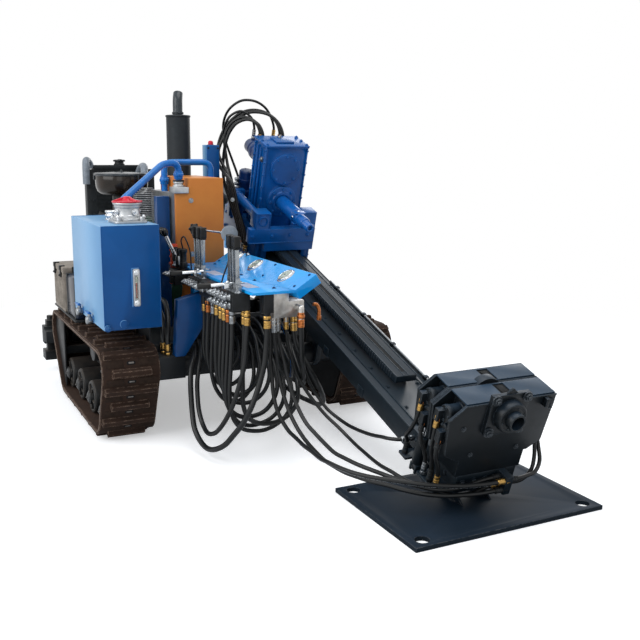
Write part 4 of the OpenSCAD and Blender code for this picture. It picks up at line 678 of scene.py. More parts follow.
# The hoses follow the CAD routes: CAD node, how it rides, radius, printed line and the points, in millimetres.
hoseRoutes = {
    "consoleHose1": ("console_hoses_rear", "chassis", 9, "plain", [
        (790, -328, 745), (790, -328, 705), (790, -330, 620), (790, -335, 540), (790, -325, 455), (790, -285, 385),
        (790, -210, 360), (780, -150, 415), (740, -120, 480), (670, -115, 530), (590, -115, 545), (550, -115, 545)]),
    "consoleHose2": ("console_hoses_rear", "chassis", 11, "white", [
        (835, -322, 745), (835, -322, 705), (835, -325, 630), (835, -330, 550), (835, -330, 475), (830, -315, 400),
        (830, -280, 330), (825, -210, 300), (820, -145, 330), (800, -105, 395), (770, -85, 465), (725, -80, 525),
        (665, -85, 570), (590, -85, 590), (550, -85, 590)]),
    "consoleHose3": ("console_hoses_rear", "chassis", 11, "plain", [
        (880, -310, 745), (880, -310, 705), (880, -315, 620), (880, -320, 540), (880, -325, 455), (875, -320, 375),
        (875, -295, 295), (870, -245, 235), (860, -165, 220), (845, -100, 265), (820, -65, 335), (785, -55, 410),
        (735, -50, 475), (670, -55, 525), (590, -55, 545), (550, -55, 545)]),
    "consoleHose4": ("console_hoses_rear", "chassis", 13, "red", [
        (925, -305, 745), (925, -305, 705), (925, -310, 625), (925, -315, 540), (925, -315, 460), (920, -305, 380),
        (915, -270, 310), (905, -200, 265), (890, -125, 275), (865, -65, 325), (830, -35, 390), (780, -25, 450),
        (730, -20, 515), (665, -25, 565), (590, -25, 590), (550, -25, 590)]),
    "consoleHose5": ("console_hoses_front", "chassis", 11, "plain", [
        (1020, -318, 745), (1020, -318, 705), (1020, -320, 630), (1020, -325, 550), (1020, -330, 475),
        (1015, -325, 395), (1010, -305, 325), (995, -255, 265), (980, -185, 240), (960, -110, 245), (940, -50, 285),
        (905, -10, 345), (855, 5, 400), (800, 10, 450), (735, 5, 495), (665, 5, 530), (590, 5, 545), (550, 5, 545)]),
    "consoleHose6": ("console_hoses_front", "chassis", 12, "plain", [
        (1070, -318, 745), (1070, -318, 705), (1070, -320, 625), (1070, -325, 545), (1070, -330, 470),
        (1070, -330, 390), (1065, -320, 310), (1050, -290, 240), (1035, -230, 190), (1015, -155, 175),
        (995, -80, 185), (970, -20, 225), (940, 20, 285), (890, 35, 350), (840, 40, 405), (785, 35, 465),
        (730, 35, 520), (665, 35, 570), (590, 35, 590), (550, 35, 590)]),
    "consoleHose7": ("console_hoses_front", "chassis", 11, "white", [
        (1120, -318, 745), (1120, -318, 705), (1120, -320, 625), (1120, -325, 545), (1120, -330, 470),
        (1120, -335, 390), (1115, -330, 310), (1105, -305, 235), (1090, -255, 175), (1070, -185, 145),
        (1050, -110, 145), (1025, -35, 165), (1000, 20, 210), (960, 55, 270), (915, 65, 330), (860, 70, 390),
        (800, 65, 440), (735, 65, 490), (665, 65, 530), (590, 65, 545), (550, 65, 545)]),
    "consoleHose8": ("console_hoses_front", "chassis", 11, "blue", [
        (1170, -318, 745), (1170, -318, 705), (1170, -320, 625), (1170, -325, 545), (1170, -330, 460),
        (1170, -335, 380), (1165, -330, 300), (1155, -310, 220), (1135, -260, 160), (1115, -190, 130),
        (1095, -115, 120), (1070, -35, 135), (1045, 30, 170), (1005, 75, 225), (960, 95, 290), (905, 100, 345),
        (845, 100, 400), (785, 95, 455), (730, 95, 515), (665, 95, 565), (590, 95, 590), (550, 95, 590)]),
    "consoleHose9": ("console_hoses_front", "chassis", 12, "plain", [
        (1205, -268, 745), (1205, -268, 705), (1205, -270, 625), (1205, -275, 545), (1205, -280, 465),
        (1205, -280, 385), (1195, -275, 305), (1180, -245, 230), (1155, -185, 185), (1135, -110, 165),
        (1110, -35, 165), (1080, 40, 190), (1045, 90, 240), (995, 115, 300), (940, 125, 350), (875, 125, 400),
        (805, 125, 445), (740, 125, 490), (670, 125, 525), (590, 125, 545), (550, 125, 545)]),
    "consoleHose10": ("console_hoses_low", "chassis", 12, "plain", [
        (1240, -268, 745), (1240, -268, 705), (1240, -275, 625), (1240, -280, 545), (1240, -295, 470),
        (1230, -315, 390), (1215, -335, 315), (1185, -355, 245), (1140, -375, 180), (1080, -385, 135),
        (1005, -395, 115), (930, -395, 140), (875, -395, 195), (840, -390, 265), (810, -380, 340), (785, -360, 415),
        (735, -335, 470), (670, -320, 510), (590, -310, 520), (550, -310, 520)]),
    "consoleHose11": ("console_hoses_low", "chassis", 14, "plain", [
        (1300, -190, 735), (1300, -190, 695), (1300, -195, 615), (1305, -205, 535), (1305, -225, 455),
        (1305, -250, 380), (1300, -280, 305), (1280, -310, 235), (1245, -345, 170), (1200, -375, 110),
        (1135, -405, 70), (1055, -420, 55), (980, -430, 75), (915, -435, 120), (870, -430, 185), (840, -425, 260),
        (820, -420, 340), (790, -405, 410), (740, -372, 462), (670, -352, 500), (590, -360, 520), (550, -360, 520)]),
    "manifoldHose1": ("manifold_hoses", "chassis", 14, "plain", [
        (1340, -30, 735), (1340, -30, 695), (1335, -25, 615), (1320, -15, 535), (1285, 10, 465), (1230, 35, 405),
        (1165, 65, 365), (1095, 100, 345), (1020, 135, 335), (940, 160, 345), (865, 175, 375), (795, 185, 420),
        (735, 190, 470), (670, 195, 520), (590, 195, 545), (550, 195, 545)]),
    "manifoldHose2": ("manifold_hoses", "chassis", 10, "blue", [
        (1270, -140, 705), (1270, -140, 665), (1270, -130, 585), (1265, -115, 510), (1240, -75, 445),
        (1195, -30, 405), (1135, 15, 385), (1065, 50, 385), (995, 85, 395), (925, 115, 420), (860, 140, 450),
        (795, 155, 495), (735, 160, 545), (665, 165, 580), (590, 165, 600), (550, 165, 600)]),
    "manifoldHose3": ("manifold_hoses", "chassis", 13, "plain", [
        (1268, -35, 705), (1268, -35, 665), (1270, -20, 590), (1275, 15, 520), (1275, 55, 455), (1265, 95, 390),
        (1235, 135, 330), (1190, 170, 275), (1130, 195, 235), (1060, 210, 205), (985, 220, 190), (910, 220, 185),
        (830, 220, 180), (755, 215, 185), (675, 210, 190), (600, 205, 205), (535, 195, 240), (500, 190, 310),
        (500, 190, 350)]),
    "pumpHose1": ("pump_hoses", "chassis", 13, "plain", [
        (660, -490, 480), (660, -490, 520), (640, -480, 595), (590, -465, 655), (520, -450, 690), (445, -435, 705),
        (365, -425, 705), (285, -420, 700), (205, -425, 690), (130, -430, 685), (50, -440, 680), (-30, -440, 680),
        (-70, -440, 680)]),
    "pumpHose2": ("pump_hoses", "chassis", 13, "plain", [
        (610, -500, 480), (610, -500, 520), (575, -490, 590), (510, -470, 625), (435, -455, 640), (360, -445, 645),
        (280, -435, 640), (205, -420, 635), (125, -410, 630), (50, -405, 625), (-30, -400, 625), (-70, -400, 625)]),
    "mastHose1": ("mast_hoses_lower", "bend", 10, "white", [
        (1165, -110, 705), (1165, -110, 665), (1165, -110, 585), (1170, -115, 505), (1185, -115, 425),
        (1210, -120, 350), (1260, -125, 285), (1325, -125, 240), (1395, -120, 205), (1475, -115, 190),
        (1555, -115, 180), (1635, -110, 175), (1715, -110, 170), (1795, -105, 175), (1875, -90, 175),
        (1950, -65, 175), (2020, -25, 175), (2080, 25, 175), (2130, 90, 170), (2175, 155, 165), (2210, 230, 160),
        (2235, 305, 155), (2245, 385, 150), (2250, 466, 148), (2250, 506, 148)]),
    "mastHose2": ("mast_hoses_lower", "bend", 10, "plain", [
        (1205, -110, 705), (1205, -110, 665), (1205, -105, 585), (1215, -100, 510), (1230, -95, 430),
        (1260, -90, 360), (1305, -85, 295), (1365, -80, 240), (1430, -75, 200), (1505, -70, 170), (1580, -65, 150),
        (1655, -60, 135), (1735, -50, 130), (1810, -35, 125), (1885, -10, 125), (1960, 20, 125), (2025, 60, 125),
        (2095, 100, 122), (2155, 155, 117), (2198, 225, 112), (2218, 300, 108), (2232, 385, 105), (2236, 466, 105),
        (2236, 506, 105)]),
    "mastHose3": ("mast_hoses_lower", "bend", 10, "plain", [
        (1245, -110, 705), (1245, -110, 665), (1255, -100, 585), (1270, -85, 505), (1290, -75, 430), (1325, -65, 355),
        (1375, -55, 295), (1435, -45, 245), (1510, -30, 210), (1585, -20, 185), (1665, -10, 165), (1740, 5, 160),
        (1820, 25, 155), (1895, 55, 150), (1980, 80, 150), (2055, 115, 145), (2122, 155, 140), (2180, 205, 137),
        (2206, 268, 138), (2217, 345, 146), (2218, 415, 155), (2218, 466, 158), (2218, 506, 158)]),
    "mastHose4": ("mast_hoses_upper", "bend", 9, "plain", [
        (1222, -55, 705), (1222, -55, 665), (1225, -45, 585), (1235, -25, 505), (1245, 0, 425), (1265, 35, 355),
        (1295, 75, 290), (1345, 110, 235), (1405, 140, 195), (1480, 160, 160), (1560, 165, 140), (1640, 165, 130),
        (1720, 160, 125), (1800, 160, 120), (1885, 165, 120), (1965, 180, 110), (2040, 205, 105), (2105, 255, 95),
        (2160, 315, 85), (2195, 385, 95), (2204, 466, 115), (2204, 506, 115)]),
    "mastHose5": ("mast_hoses_upper", "bend", 9, "plain", [
        (1225, -15, 705), (1225, -15, 665), (1220, 0, 590), (1220, 20, 515), (1215, 50, 440), (1220, 80, 370),
        (1240, 115, 305), (1285, 145, 250), (1350, 175, 215), (1425, 190, 200), (1500, 195, 200), (1580, 190, 210),
        (1700, 181, 231), (1768, 179, 246), (1830, 191, 254), (1864, 221, 257), (1864, 261, 257)]),
    "clampHoseLeft1": ("clamp_hoses_left", "mast", 9, "plain", [
        (2294, -262, -60), (2294, -262, -90), (2295, -260, -150), (2290, -250, -210), (2290, -235, -270),
        (2292, -225, -330), (2292, -225, -360)]),
    "clampHoseLeft2": ("clamp_hoses_left", "mast", 9, "plain", [
        (2334, -262, -140), (2334, -262, -170), (2335, -255, -225), (2340, -235, -275), (2340, -225, -330),
        (2340, -225, -360)]),
    "clampHoseRight1": ("clamp_hoses_right", "mast", 9, "plain", [
        (2294, 262, -60), (2294, 262, -90), (2300, 270, -150), (2315, 290, -210), (2340, 300, -265),
        (2380, 290, -310), (2415, 245, -335), (2430, 185, -335), (2436, 125, -335), (2436, 95, -335)]),
    "clampHoseRight2": ("clamp_hoses_right", "mast", 9, "plain", [
        (2334, 262, -140), (2334, 262, -170), (2345, 265, -235), (2365, 265, -290), (2390, 245, -345),
        (2405, 190, -375), (2404, 125, -380), (2404, 95, -380)]),
    "breakoutHoseLeft1": ("breakout_hoses_left", "bend", 9, "plain", breakoutRuns[0]),
    "breakoutHoseLeft2": ("breakout_hoses_left", "bend", 9, "plain", breakoutRuns[1]),
    "breakoutHoseRight1": ("breakout_hoses_right", "bend", 9, "plain", mirrored(breakoutRuns[0])),
    "breakoutHoseRight2": ("breakout_hoses_right", "bend", 9, "plain", mirrored(breakoutRuns[1])),
    "driveHose1": ("drive_hoses", "carriage", 10, "plain", [
        (-120, -204, -330), (-120, -204, -290), (-140, -215, -215), (-180, -230, -150), (-225, -245, -90),
        (-280, -255, -35), (-335, -260, 20), (-370, -260, 90), (-380, -260, 165), (-380, -255, 245),
        (-380, -235, 320), (-360, -200, 385), (-320, -145, 420), (-265, -95, 405), (-235, -68, 340),
        (-235, -68, 300)]),
    "driveHose2": ("drive_hoses", "carriage", 10, "plain", [
        (-80, -204, -330), (-80, -204, -290), (-105, -215, -215), (-145, -225, -145), (-195, -240, -85),
        (-245, -250, -25), (-300, -250, 35), (-350, -235, 95), (-400, -235, 155), (-420, -245, 230),
        (-425, -240, 310), (-410, -205, 380), (-370, -150, 420), (-320, -95, 405), (-285, -68, 340),
        (-285, -68, 300)]),
    "driveHose3": ("drive_hoses", "carriage", 10, "plain", [
        (-40, -204, -330), (-40, -204, -290), (-65, -210, -215), (-105, -225, -150), (-150, -240, -85),
        (-195, -245, -20), (-240, -255, 45), (-300, -265, 95), (-365, -280, 135), (-425, -280, 180),
        (-450, -250, 250), (-450, -215, 320), (-435, -175, 385), (-410, -120, 435), (-365, -60, 455), (-310, 0, 450),
        (-265, 45, 410), (-235, 68, 340), (-235, 68, 300)]),
    "driveHose4": ("drive_hoses", "carriage", 10, "plain", [
        (0, -204, -330), (0, -204, -290), (-25, -210, -215), (-65, -225, -145), (-110, -240, -80), (-140, -250, -10),
        (-180, -265, 55), (-255, -285, 85), (-335, -290, 100), (-410, -285, 120), (-475, -270, 165),
        (-500, -250, 235), (-495, -225, 310), (-480, -185, 375), (-450, -130, 430), (-410, -65, 455), (-360, -5, 450),
        (-315, 45, 410), (-285, 68, 340), (-285, 68, 300)]),
    "driveHose5": ("drive_hoses", "carriage", 8, "plain", [
        (-455, -120, -170), (-455, -120, -130), (-465, -145, -50), (-475, -170, 25), (-480, -195, 100),
        (-485, -215, 180), (-480, -235, 260), (-460, -240, 335), (-430, -220, 410), (-395, -165, 450),
        (-380, -100, 415), (-385, -68, 340), (-385, -68, 300)]),
    "driveHose6": ("drive_hoses", "carriage", 8, "plain", [
        (-455, -60, -170), (-455, -60, -130), (-480, -85, -55), (-495, -115, 20), (-510, -145, 90), (-515, -180, 165),
        (-520, -210, 240), (-515, -230, 315), (-490, -230, 395), (-455, -210, 460), (-425, -155, 510),
        (-400, -80, 515), (-390, -10, 480), (-385, 40, 415), (-385, 68, 340), (-385, 68, 300)]),
}


def fitting(radius, colour):  # a crimped sleeve over the hose's end, its nut and its stem, along +Z
    sleeve = lathe((0, 0, 0), (0, 0, 1), [(0, -2), (radius + 2, -2), (radius + 4, 1), (radius + 4, 8),
                                          (radius + 3, 9),
                                          (radius + 3, 12), (radius + 4, 13), (radius + 4, 20), (radius + 3, 21),
                                          (radius + 3, 24), (radius + 4, 25), (radius + 4, 36), (radius + 1, 38),
                                          (0, 38)], 24)
    turned = rounded(rod((0, 0, -24), (0, 0, -6), radius + 6, 0, 6), 1.2, 1)
    neck = rod((0, 0, -8), (0, 0, 0), radius + 1, 0.6, 20)
    seat = rod((0, 0, -36), (0, 0, -22), radius + 2.5, 1, 20)
    for part in (sleeve, turned, neck, seat):
        dressed(part, paints[colour])
    pick(sleeve)
    for part in (turned, neck, seat):
        part.select_set(True)
    bpy.ops.object.join()
    return bpy.context.object


hoseEnds = {}
for name, (node, ride, radius, line, points) in hoseRoutes.items():
    space = mast if name.startswith(("clamp", "breakout", "drive")) else ground
    centre = [space @ p for p in smoothLine(points, 6)]
    piece = sweep(centre, radius / 1000, 12)
    piece.name = piece.data.name = name
    dressed(piece, hoseFinishes[line])
    if ride == "bend":
        bodies = ("chassis", "mast") if name.startswith("mast") else ("mast", "breakout_vise")
        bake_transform(piece)
        ends = (bodies[0], bodies[1]) if name.startswith("mast") else (bodies[1], bodies[0])
    else:
        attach(piece, ride)
        ends = (ride, ride)
    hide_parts(node)
    hoseEnds.setdefault((space == mast, ends[0]), []).append((points[0], Vector(points[1]) - Vector(points[0]),
                                                              radius, name))
    hoseEnds.setdefault((space == mast, ends[1]), []).append((points[-1], Vector(points[-2]) - Vector(points[-1]),
                                                              radius, name))
print("hoses laid:", len(hoseRoutes))

sleeveColours = ["yellowZinc", "yellowZinc", "copper", "yellowZinc", "whiteZinc"]
for (onMast, body), ends in hoseEnds.items():
    parts = []
    for i, (where, way, radius, name) in enumerate(ends):
        dark = body in ("mast", "breakout_vise") and not name.startswith("mastHose5")
        colour = "valveCasting" if dark and i % 3 else sleeveColours[i % 5]
        if name.startswith("consoleHose") and i % 2 == 1:
            colour = "valveCasting"
        source = fitting(radius, colour)
        parts.extend(copies(source, [facing(where, way, 23 * i)]))
    name = {(False, "chassis"): "consoleFittings", (False, "mast"): "mastHoseFittings",
            (True, "mast"): "clampFittings",
            (True, "breakout_vise"): "breakoutFittings", (True, "carriage"): "driveFittings"}[(onMast, body)]
    settle(name, parts, mast if onMast else ground, body)
print("hose fittings set")

# CAD shapes that are right as they are get a copy with rolled edges: node, edge radius, finish.
def softened(node, edge, material):
    source = nodes[node]
    obj = bpy.data.objects.new(node + "Shape", source.data.copy())
    bpy.context.scene.collection.objects.link(obj)
    obj.data.materials.clear()
    pick(obj)
    bpy.ops.object.mode_set(mode="EDIT")
    bpy.ops.mesh.select_all(action="SELECT")
    bpy.ops.mesh.remove_doubles(threshold=0.00002)
    bpy.ops.mesh.dissolve_limited(angle_limit=math.radians(1.0))
    bpy.ops.object.mode_set(mode="OBJECT")
    rounded(obj, edge / 1000, 2, 32)
    obj.name = obj.data.name = node + "Shape"
    dressed(obj, paints[material])
    pick(obj)
    bpy.ops.object.shade_smooth_by_angle(angle=smoothAngle)
    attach(obj, source["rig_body"])
    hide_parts(node)
    return obj


softShapes = {
    "chassis_frame": (2.5, "chassisPaint"), "lift_beam": (2, "chassisPaint"), "pivot_tube": (2, "chassisPaint"),
    "rear_bar": (3, "chassisPaint"), "right_track_frame": (3, "rollerPaint"), "left_track_frame": (3, "rollerPaint"),
    "right_track_wheels": (4, "rollerPaint"), "left_track_wheels": (4, "rollerPaint"),
    "right_track": (2.5, "trackRubber"), "left_track": (2.5, "trackRubber"), "hydraulic_tank": (7, "tankEnamel"),
    "engine_block": (8, "engineEnamel"),
    "radiator": (3, "radiatorPaint"),
    "fan": (1.5, "gripPlastic"), "cooler_core": (1.5, "castAluminium"), "cooler_shroud": (2, "shroudEnamel"),
    "cooler_post": (3, "columnEnamel"), "battery_box": (6, "boxPlastic"),
    "fuel_tank": (14, "darkTank"), "electric_box": (3, "tankEnamel"), "console": (2, "deckEnamel"),
    "console_column": (3, "columnEnamel"), "front_valve_bank": (2, "valveCasting"),
    "rear_valve_bank": (2, "valveCasting"),
    "manifold": (1.5, "milledAluminium"), "right_stabiliser": (3, "rollerPaint"),
    "left_stabiliser": (3, "rollerPaint"),
    "mast_beam": (2.5, "mastPaint"), "rack": (1.5, "mastPaint"), "clamp_vise": (2, "visePaint"),
    "breakout_vise": (2, "visePaint"), "breakout_barrel": (1.5, "visePaint"), "breakout_rod": (1, "chrome"),
    "carriage_base": (2.5, "gearEnamel"), "gearbox": (3, "gearEnamel"),
    "anchor_plate": (2.5, "platePaint"),
    "tilt_barrel": (1.5, "visePaint"), "tilt_rod": (1, "chrome"),
}
for node, (edge, material) in softShapes.items():
    softened(node, edge, material)
print("CAD shapes softened:", len(softShapes))


# Console: gauges, switch, screws and blank plates on the sky-blue panel
slope = math.radians(32)
panelUp = Vector((0, -math.sin(slope), math.cos(slope)))


def onPanel(x, v, lift=0.0):
    return Vector((x, -54 + v * math.cos(slope), 866 + v * math.sin(slope))) + (14 + lift) * panelUp


dials = {"places": ((1109, 68, 0.9), (695, 74, -0.4), (381, 91, 0.2)), "radius": 43, "height": 11}


def addDials():
    chromeParts, faceParts, markParts, glassParts = [], [], [], []
    r, h = dials["radius"], dials["height"]
    for x, v, turn in dials["places"]:
        place = facing(onPanel(x, v), panelUp)
        bezel = [(0, -2), (r + 7, -2), (r + 7, 2), (r + 1, 3), (r, h - 3), (r - 2, h), (r - 6, h), (r - 8, h - 3),
                 (0, h - 3)]
        case = lathe((0, 0, 0), (0, 0, 1), bezel, 48, 0.6)
        case.data.transform(place)
        chromeParts.append(case)
        face = lathe((0, 0, h - 3.2), (0, 0, 1), [(0, 0), (r - 8.5, 0), (r - 8.5, 0.8), (0, 0.8)], 40)
        face.data.transform(place)
        faceParts.append(face)
        for k in range(21):
            a = math.radians(225 - 13.5 * k)
            long = 5 if k % 5 == 0 else 3
            mark = block((r - 11 - long, -0.35, h - 2.6), (r - 11, 0.35, h - 2.1), 0.05, 1)
            mark.data.transform(place @ Matrix.Rotation(a, 4, "Z"))
            markParts.append(mark)
        hand = slab([(-8, -1.2), (24, -0.4), (24, 0.4), (-8, 1.2)], 0.6, Matrix.Translation((0, 0, h - 2)), 0.1)
        hub = lathe((0, 0, h - 2.4), (0, 0, 1), [(0, 0), (4, 0), (4, 1.6), (0, 1.6)], 20, 0.2)
        for part in (hand, hub):
            part.data.transform(place @ Matrix.Rotation(turn + 2.6, 4, "Z"))
            markParts.append(part)
        lens = lathe((0, 0, h - 1.2), (0, 0, 1), [(0, 0), (r - 7.2, 0), (r - 7.2, 0.5), (0, 1.4)], 40)
        lens.data.transform(place)
        glassParts.append(lens)
    fit("dialBezels", chromeParts, "chrome")
    fit("dialFaces", faceParts, "dialCream")
    fit("dialMarks", markParts, "gripPlastic")
    settle("dialGlasses", glassParts, ground, "chassis", glass)


deckScrews = ((766, -110), (979, -121), (1246, -130), (515, -202), (300, -90), (300, -250), (1150, -262))
panelScrews = ((240, 24), (560, 24), (900, 24), (1290, 24), (240, 118), (880, 118), (1290, 118))


def addConsoleFittings():
    screws = boltsAt([(x, y, 880) for x, y in deckScrews], (0, 0, 1), 8, 5)
    screws += boltsAt([onPanel(x, v) for x, v in panelScrews], panelUp, 6, 4)
    fit("consoleScrews", screws, "columnEnamel")
    plates = []
    for x, y, wide, deep in ((1111, -214, 170, 62), (645, -214, 170, 62)):
        outline = [(x - wide / 2, y - deep / 2), (x + wide / 2, y - deep / 2), (x + wide / 2, y + deep / 2),
                   (x - wide / 2, y + deep / 2)]
        plates.append(slab(outline, 1.2, Matrix.Translation((0, 0, 880)), 0.4))
        plates += copies(lathe((0, 0, 0), (0, 0, 1), [(0, 0), (3, 0), (2.4, 1.6), (0, 2)], 16),
                         [Matrix.Translation((x + sx * (wide / 2 - 7), y + sy * (deep / 2 - 7), 881.2))
                          for sx in (-1, 1) for sy in (-1, 1)])
    fit("blankPlates", plates, "blankPlate")
    rim = sweep([Vector((208, -276, 878)), Vector((1332, -276, 878))], 4, 8)
    lip = sweep([onPanel(209, 134, -6), onPanel(1331, 134, -6)], 3.5, 8)
    fold = sweep([onPanel(209, 0, 0.5), onPanel(1331, 0, 0.5)], 2.5, 8)
    fit("consoleEdges", [rim, lip, fold], "deckEnamel")
    base = onPanel(471, 129)
    nut = lathe(base, panelUp, [(0, 0), (11, 0), (11, 4), (7, 5), (7, 12), (0, 12)], 24, 0.5)
    fit("switchNut", [nut], "chrome")
    lever = lathe(base + 10 * panelUp, (panelUp + Vector((0.25, 0.1, 0))).normalized(),
                  [(0, 0), (3.5, 0), (3, 18), (5.5, 24), (5, 32), (0, 34)], 20, 0.4)
    boot = lathe(base, (0, 0, 1), [(0, 0), (15, 0), (14, 3), (0, 3)], 24, 0.5)
    fit("switchLever", [lever, boot], "gripPlastic")


addDials()
addConsoleFittings()
print("console panel set")

# Hand levers: flat bright bars in forked brackets, with square black grips
leverRows = {"rear": {"first": 630, "step": 34, "count": 4, "side": -310, "foot": 880, "top": 1136},
             "front": {"first": 1124, "step": 36, "count": 4, "side": -310, "foot": 880, "top": 1136}}


def addLeverRow(row, node, leans):
    bars, grips, brackets = [], [], []
    for k in range(row["count"]):
        x, y, lean = row["first"] + k * row["step"], row["side"], leans[k]
        foot, top = row["foot"], row["top"] - 56
        for part, low, high in ((bars, (x - 3.5, y - 10, foot + 24), (x + 3.5, y + 10, top + 8)),
                                (bars, (x - 6, y - 12, foot + 10), (x + 6, y + 12, foot + 58))):
            piece = block(low, high, 1.6, 2)
            part.append(piece)
        grip = block((x - 13, y - 16, top), (x + 13, y + 16, row["top"]), 5, 4)
        grips.append(grip)
        collar = block((x - 10, y - 14, top - 8), (x + 10, y + 14, top), 2)
        grips.append(collar)
        for side in (-1, 1):
            cheek = slab([(-15, 0), (15, 0), (15, 34), (9, 44), (-9, 44), (-15, 34)], 5, None, 1)
            cheek.data.transform(Matrix.Translation((x + side * 11 - 2.5, y, foot - 14))
                                 @ Matrix.Rotation(math.pi / 2, 4, "Z") @ Matrix.Rotation(math.pi / 2, 4, "X"))
            brackets.append(cheek)
        brackets.append(rod((x - 18, y, foot + 18), (x + 18, y, foot + 18), 5, 0.8, 16))
        brackets += boltsAt([(x + 14, y, foot + 18)], (1, 0, 0), 7, 3)
        brackets.append(rod((x, y + 13, foot + 34), (x, y + 34, foot + 34), 4, 0.6, 14))
        brackets.append(lathe((x, y, foot - 14), (0, 0, 1), [(0, 0), (19, 0), (19, 6), (14, 9), (14, 14), (0, 14)],
                              24, 0.8))
        swing = Matrix.Translation((x, y, foot)) @ Matrix.Rotation(lean, 4, "X") @ Matrix.Translation((-x, -y, -foot))
        for part in (bars[-1], bars[-2], grips[-1], grips[-2]):
            part.data.transform(swing)
    fit(node + "Bars", bars, "leverSteel", (node,))
    fit(node + "Grips", grips, "gripPlastic", (node,))
    fit(node + "Brackets", brackets, "whiteZinc")


addLeverRow(leverRows["rear"], "rear_levers", (0.02, -0.015, 0.01, -0.02))
addLeverRow(leverRows["front"], "front_levers", (-0.01, 0.02, 0.0, 0.015))
print("lever rows set")

# Spool ends and adapters on the valve banks
banks = {"front": {"xs": (1020, 1070, 1120, 1170, 1215), "face": -345, "rows": (845, 806)},
         "rear": {"xs": (612, 652, 692, 732), "face": -345, "rows": (840,)},
         "small": {"xs": (268, 312), "face": -345, "rows": (838,)},
         "middle": {"xs": (795, 845, 895), "face": -345, "rows": (838,)}}


def addSpools():
    caps, dark = [], []
    profile = [(0, 0), (18, 0), (18, 6), (13, 8), (13, 20), (15, 22), (15, 29), (11, 32), (11, 37), (8, 40), (0, 40)]
    for bank in banks.values():
        for x in bank["xs"]:
            for z in bank["rows"]:
                caps.append(lathe((x, bank["face"], z), (0, -1, 0), profile, 24, 0.8))
                caps += boltsAt([(x, bank["face"] - 40, z)], (0, -1, 0), 7, 5)
    fit("spoolCaps", caps, "whiteZinc")
    for bank, floor in ((banks["front"], 784), (banks["rear"], 815)):
        low, high = bank["xs"][0] - 20, bank["xs"][-1] + 20
        for k in range(len(bank["xs"]) + 1):
            x = low + (high - low) * k / len(bank["xs"])
            dark.append(block((x - 4, -350, floor), (x + 4, -252, 862), 2))
        for z in (floor + 10, 856):
            dark.append(rod((low - 6, -262, z), (high + 6, -262, z), 5, 0.8, 14))
            dark += boltsAt([(high + 4, -262, z), (high + 4, -335, z)], (1, 0, 0), 9, 6)
    dark.append(block((1000, -340, 776), (1250, -300, 786), 3))
    fit("bankSections", dark, "valveCasting")


addSpools()
print("valve banks set")


# Two leaning levers with ball knobs on the small bank, and its red relief block
def addBallLevers():
    stems, knobs, bracket = [], [], []
    for x in (254, 296):
        foot = Vector((x, -310, 866))
        way = Vector((-0.083, -0.308, 0.948)).normalized()
        path = smoothLine([foot, foot + 60 * way + Vector((0, 12, 0)), foot + 130 * way + Vector((0, 6, 0)),
                           foot + 205 * way], 6)
        stems.append(sweep([p + Vector((0, 0, 8)) for p in path], 7, 16))
        knobs.append(lathe(foot + 196 * way, way, [(0, 0), (10, 0), (13, 5), (18, 16), (20, 27), (18.5, 37),
                                                   (13, 45), (6, 49),
                                                  (0, 50)], 32))
        bracket.append(lathe(foot + Vector((0, 0, 12)), (0, 0, 1),
                             [(0, 0), (20, 0), (20, 8), (13, 12), (12, 26), (0, 26)], 24, 1))
        bracket.append(block((x - 16, -326, 876), (x + 16, -294, 886), 2))
    fit("ballLevers", stems, "chrome", ("rear_levers",))
    fit("ballKnobs", knobs, "knobBlack", ("rear_levers",))
    fit("ballBrackets", bracket, "whiteZinc")
    red = [block((212, -330, 771), (238, -290, 1000), 4), block((206, -336, 771), (244, -284, 800), 3),
           block((206, -336, 880), (244, -284, 896), 3)]
    red += boltsAt([(225, -330, z) for z in (815, 850, 930, 965)], (0, -1, 0), 7, 5)
    fit("reliefBlock", red, "valveRed")
    black = [lathe((397, -310, 880), (0, 0, 1), [(0, 0), (24, 0), (24, 34), (19, 36), (19, 88), (24, 90), (24, 108),
                                                 (15, 112),
                                                (0, 112)], 28, 1)]
    black.append(lathe((340, -310, 880), (0, 0, 1), [(0, 0), (26, 0), (26, 60), (21, 64), (21, 108), (0, 110)], 28,
                       1))
    black.append(block((238, -326, 905), (262, -296, 985), 3))
    fit("pilotValves", black, "gripPlastic")
    tags = [block((384, -336, 900), (410, -333, 950), 1)]
    fit("pilotValveTags", tags, "castAluminium")


# Throttle: a star knob and a rod to a grey disc over its blue box
def addThrottle():
    y, z = -310, 1118
    star = lathe((600, y, z), (1, 0, 0), [(0, -12), (20, -11), (25, -6), (25, 7), (20, 12), (10, 13), (9, 30),
                                          (0, 30)], 32, 1)
    lobes = [lathe((594, y + 23 * math.cos(a), z + 23 * math.sin(a)), (1, 0, 0),
                   [(0, 0), (7, 0), (8, 3), (8, 11), (7, 14), (0, 14)],
                   16, 1) for a in [2 * math.pi * k / 6 for k in range(6)]]
    fit("throttleKnob", [star] + lobes, "gripPlastic")
    parts = [rod((620, y, z), (1040, y + 26, z + 14), 5, 0.6, 16)]
    parts += [lathe((960, y + 21, z + 11), (1, 0.06, 0.03), [(0, 0), (10, 0), (10, 26), (0, 26)], 6, 0.6),
              lathe((1010, y + 24, z + 13), (1, 0.06, 0.03), [(0, 0), (8, 0), (8, 18), (0, 18)], 6, 0.6)]
    fit("throttleRod", parts, "chrome")
    disc = lathe((1053, y + 28, z + 12), (1, -0.28, 0.1), [(0, 0), (40, 0), (41, 2), (41, 6), (38, 8), (0, 9)], 48,
                 0.8)
    fit("throttleDisc", [disc], "greyTin")
    box = [block((1038, y + 4, 1062), (1072, y + 50, 1118), 4),
           rod((1060, y + 30, 880), (1060, y + 30, 1064), 5, 0.8, 14)]
    box += boltsAt([(1072, y + 16, 1076)], (1, 0, 0), 6, 4)
    fit("throttleBox", box, "tankEnamel")


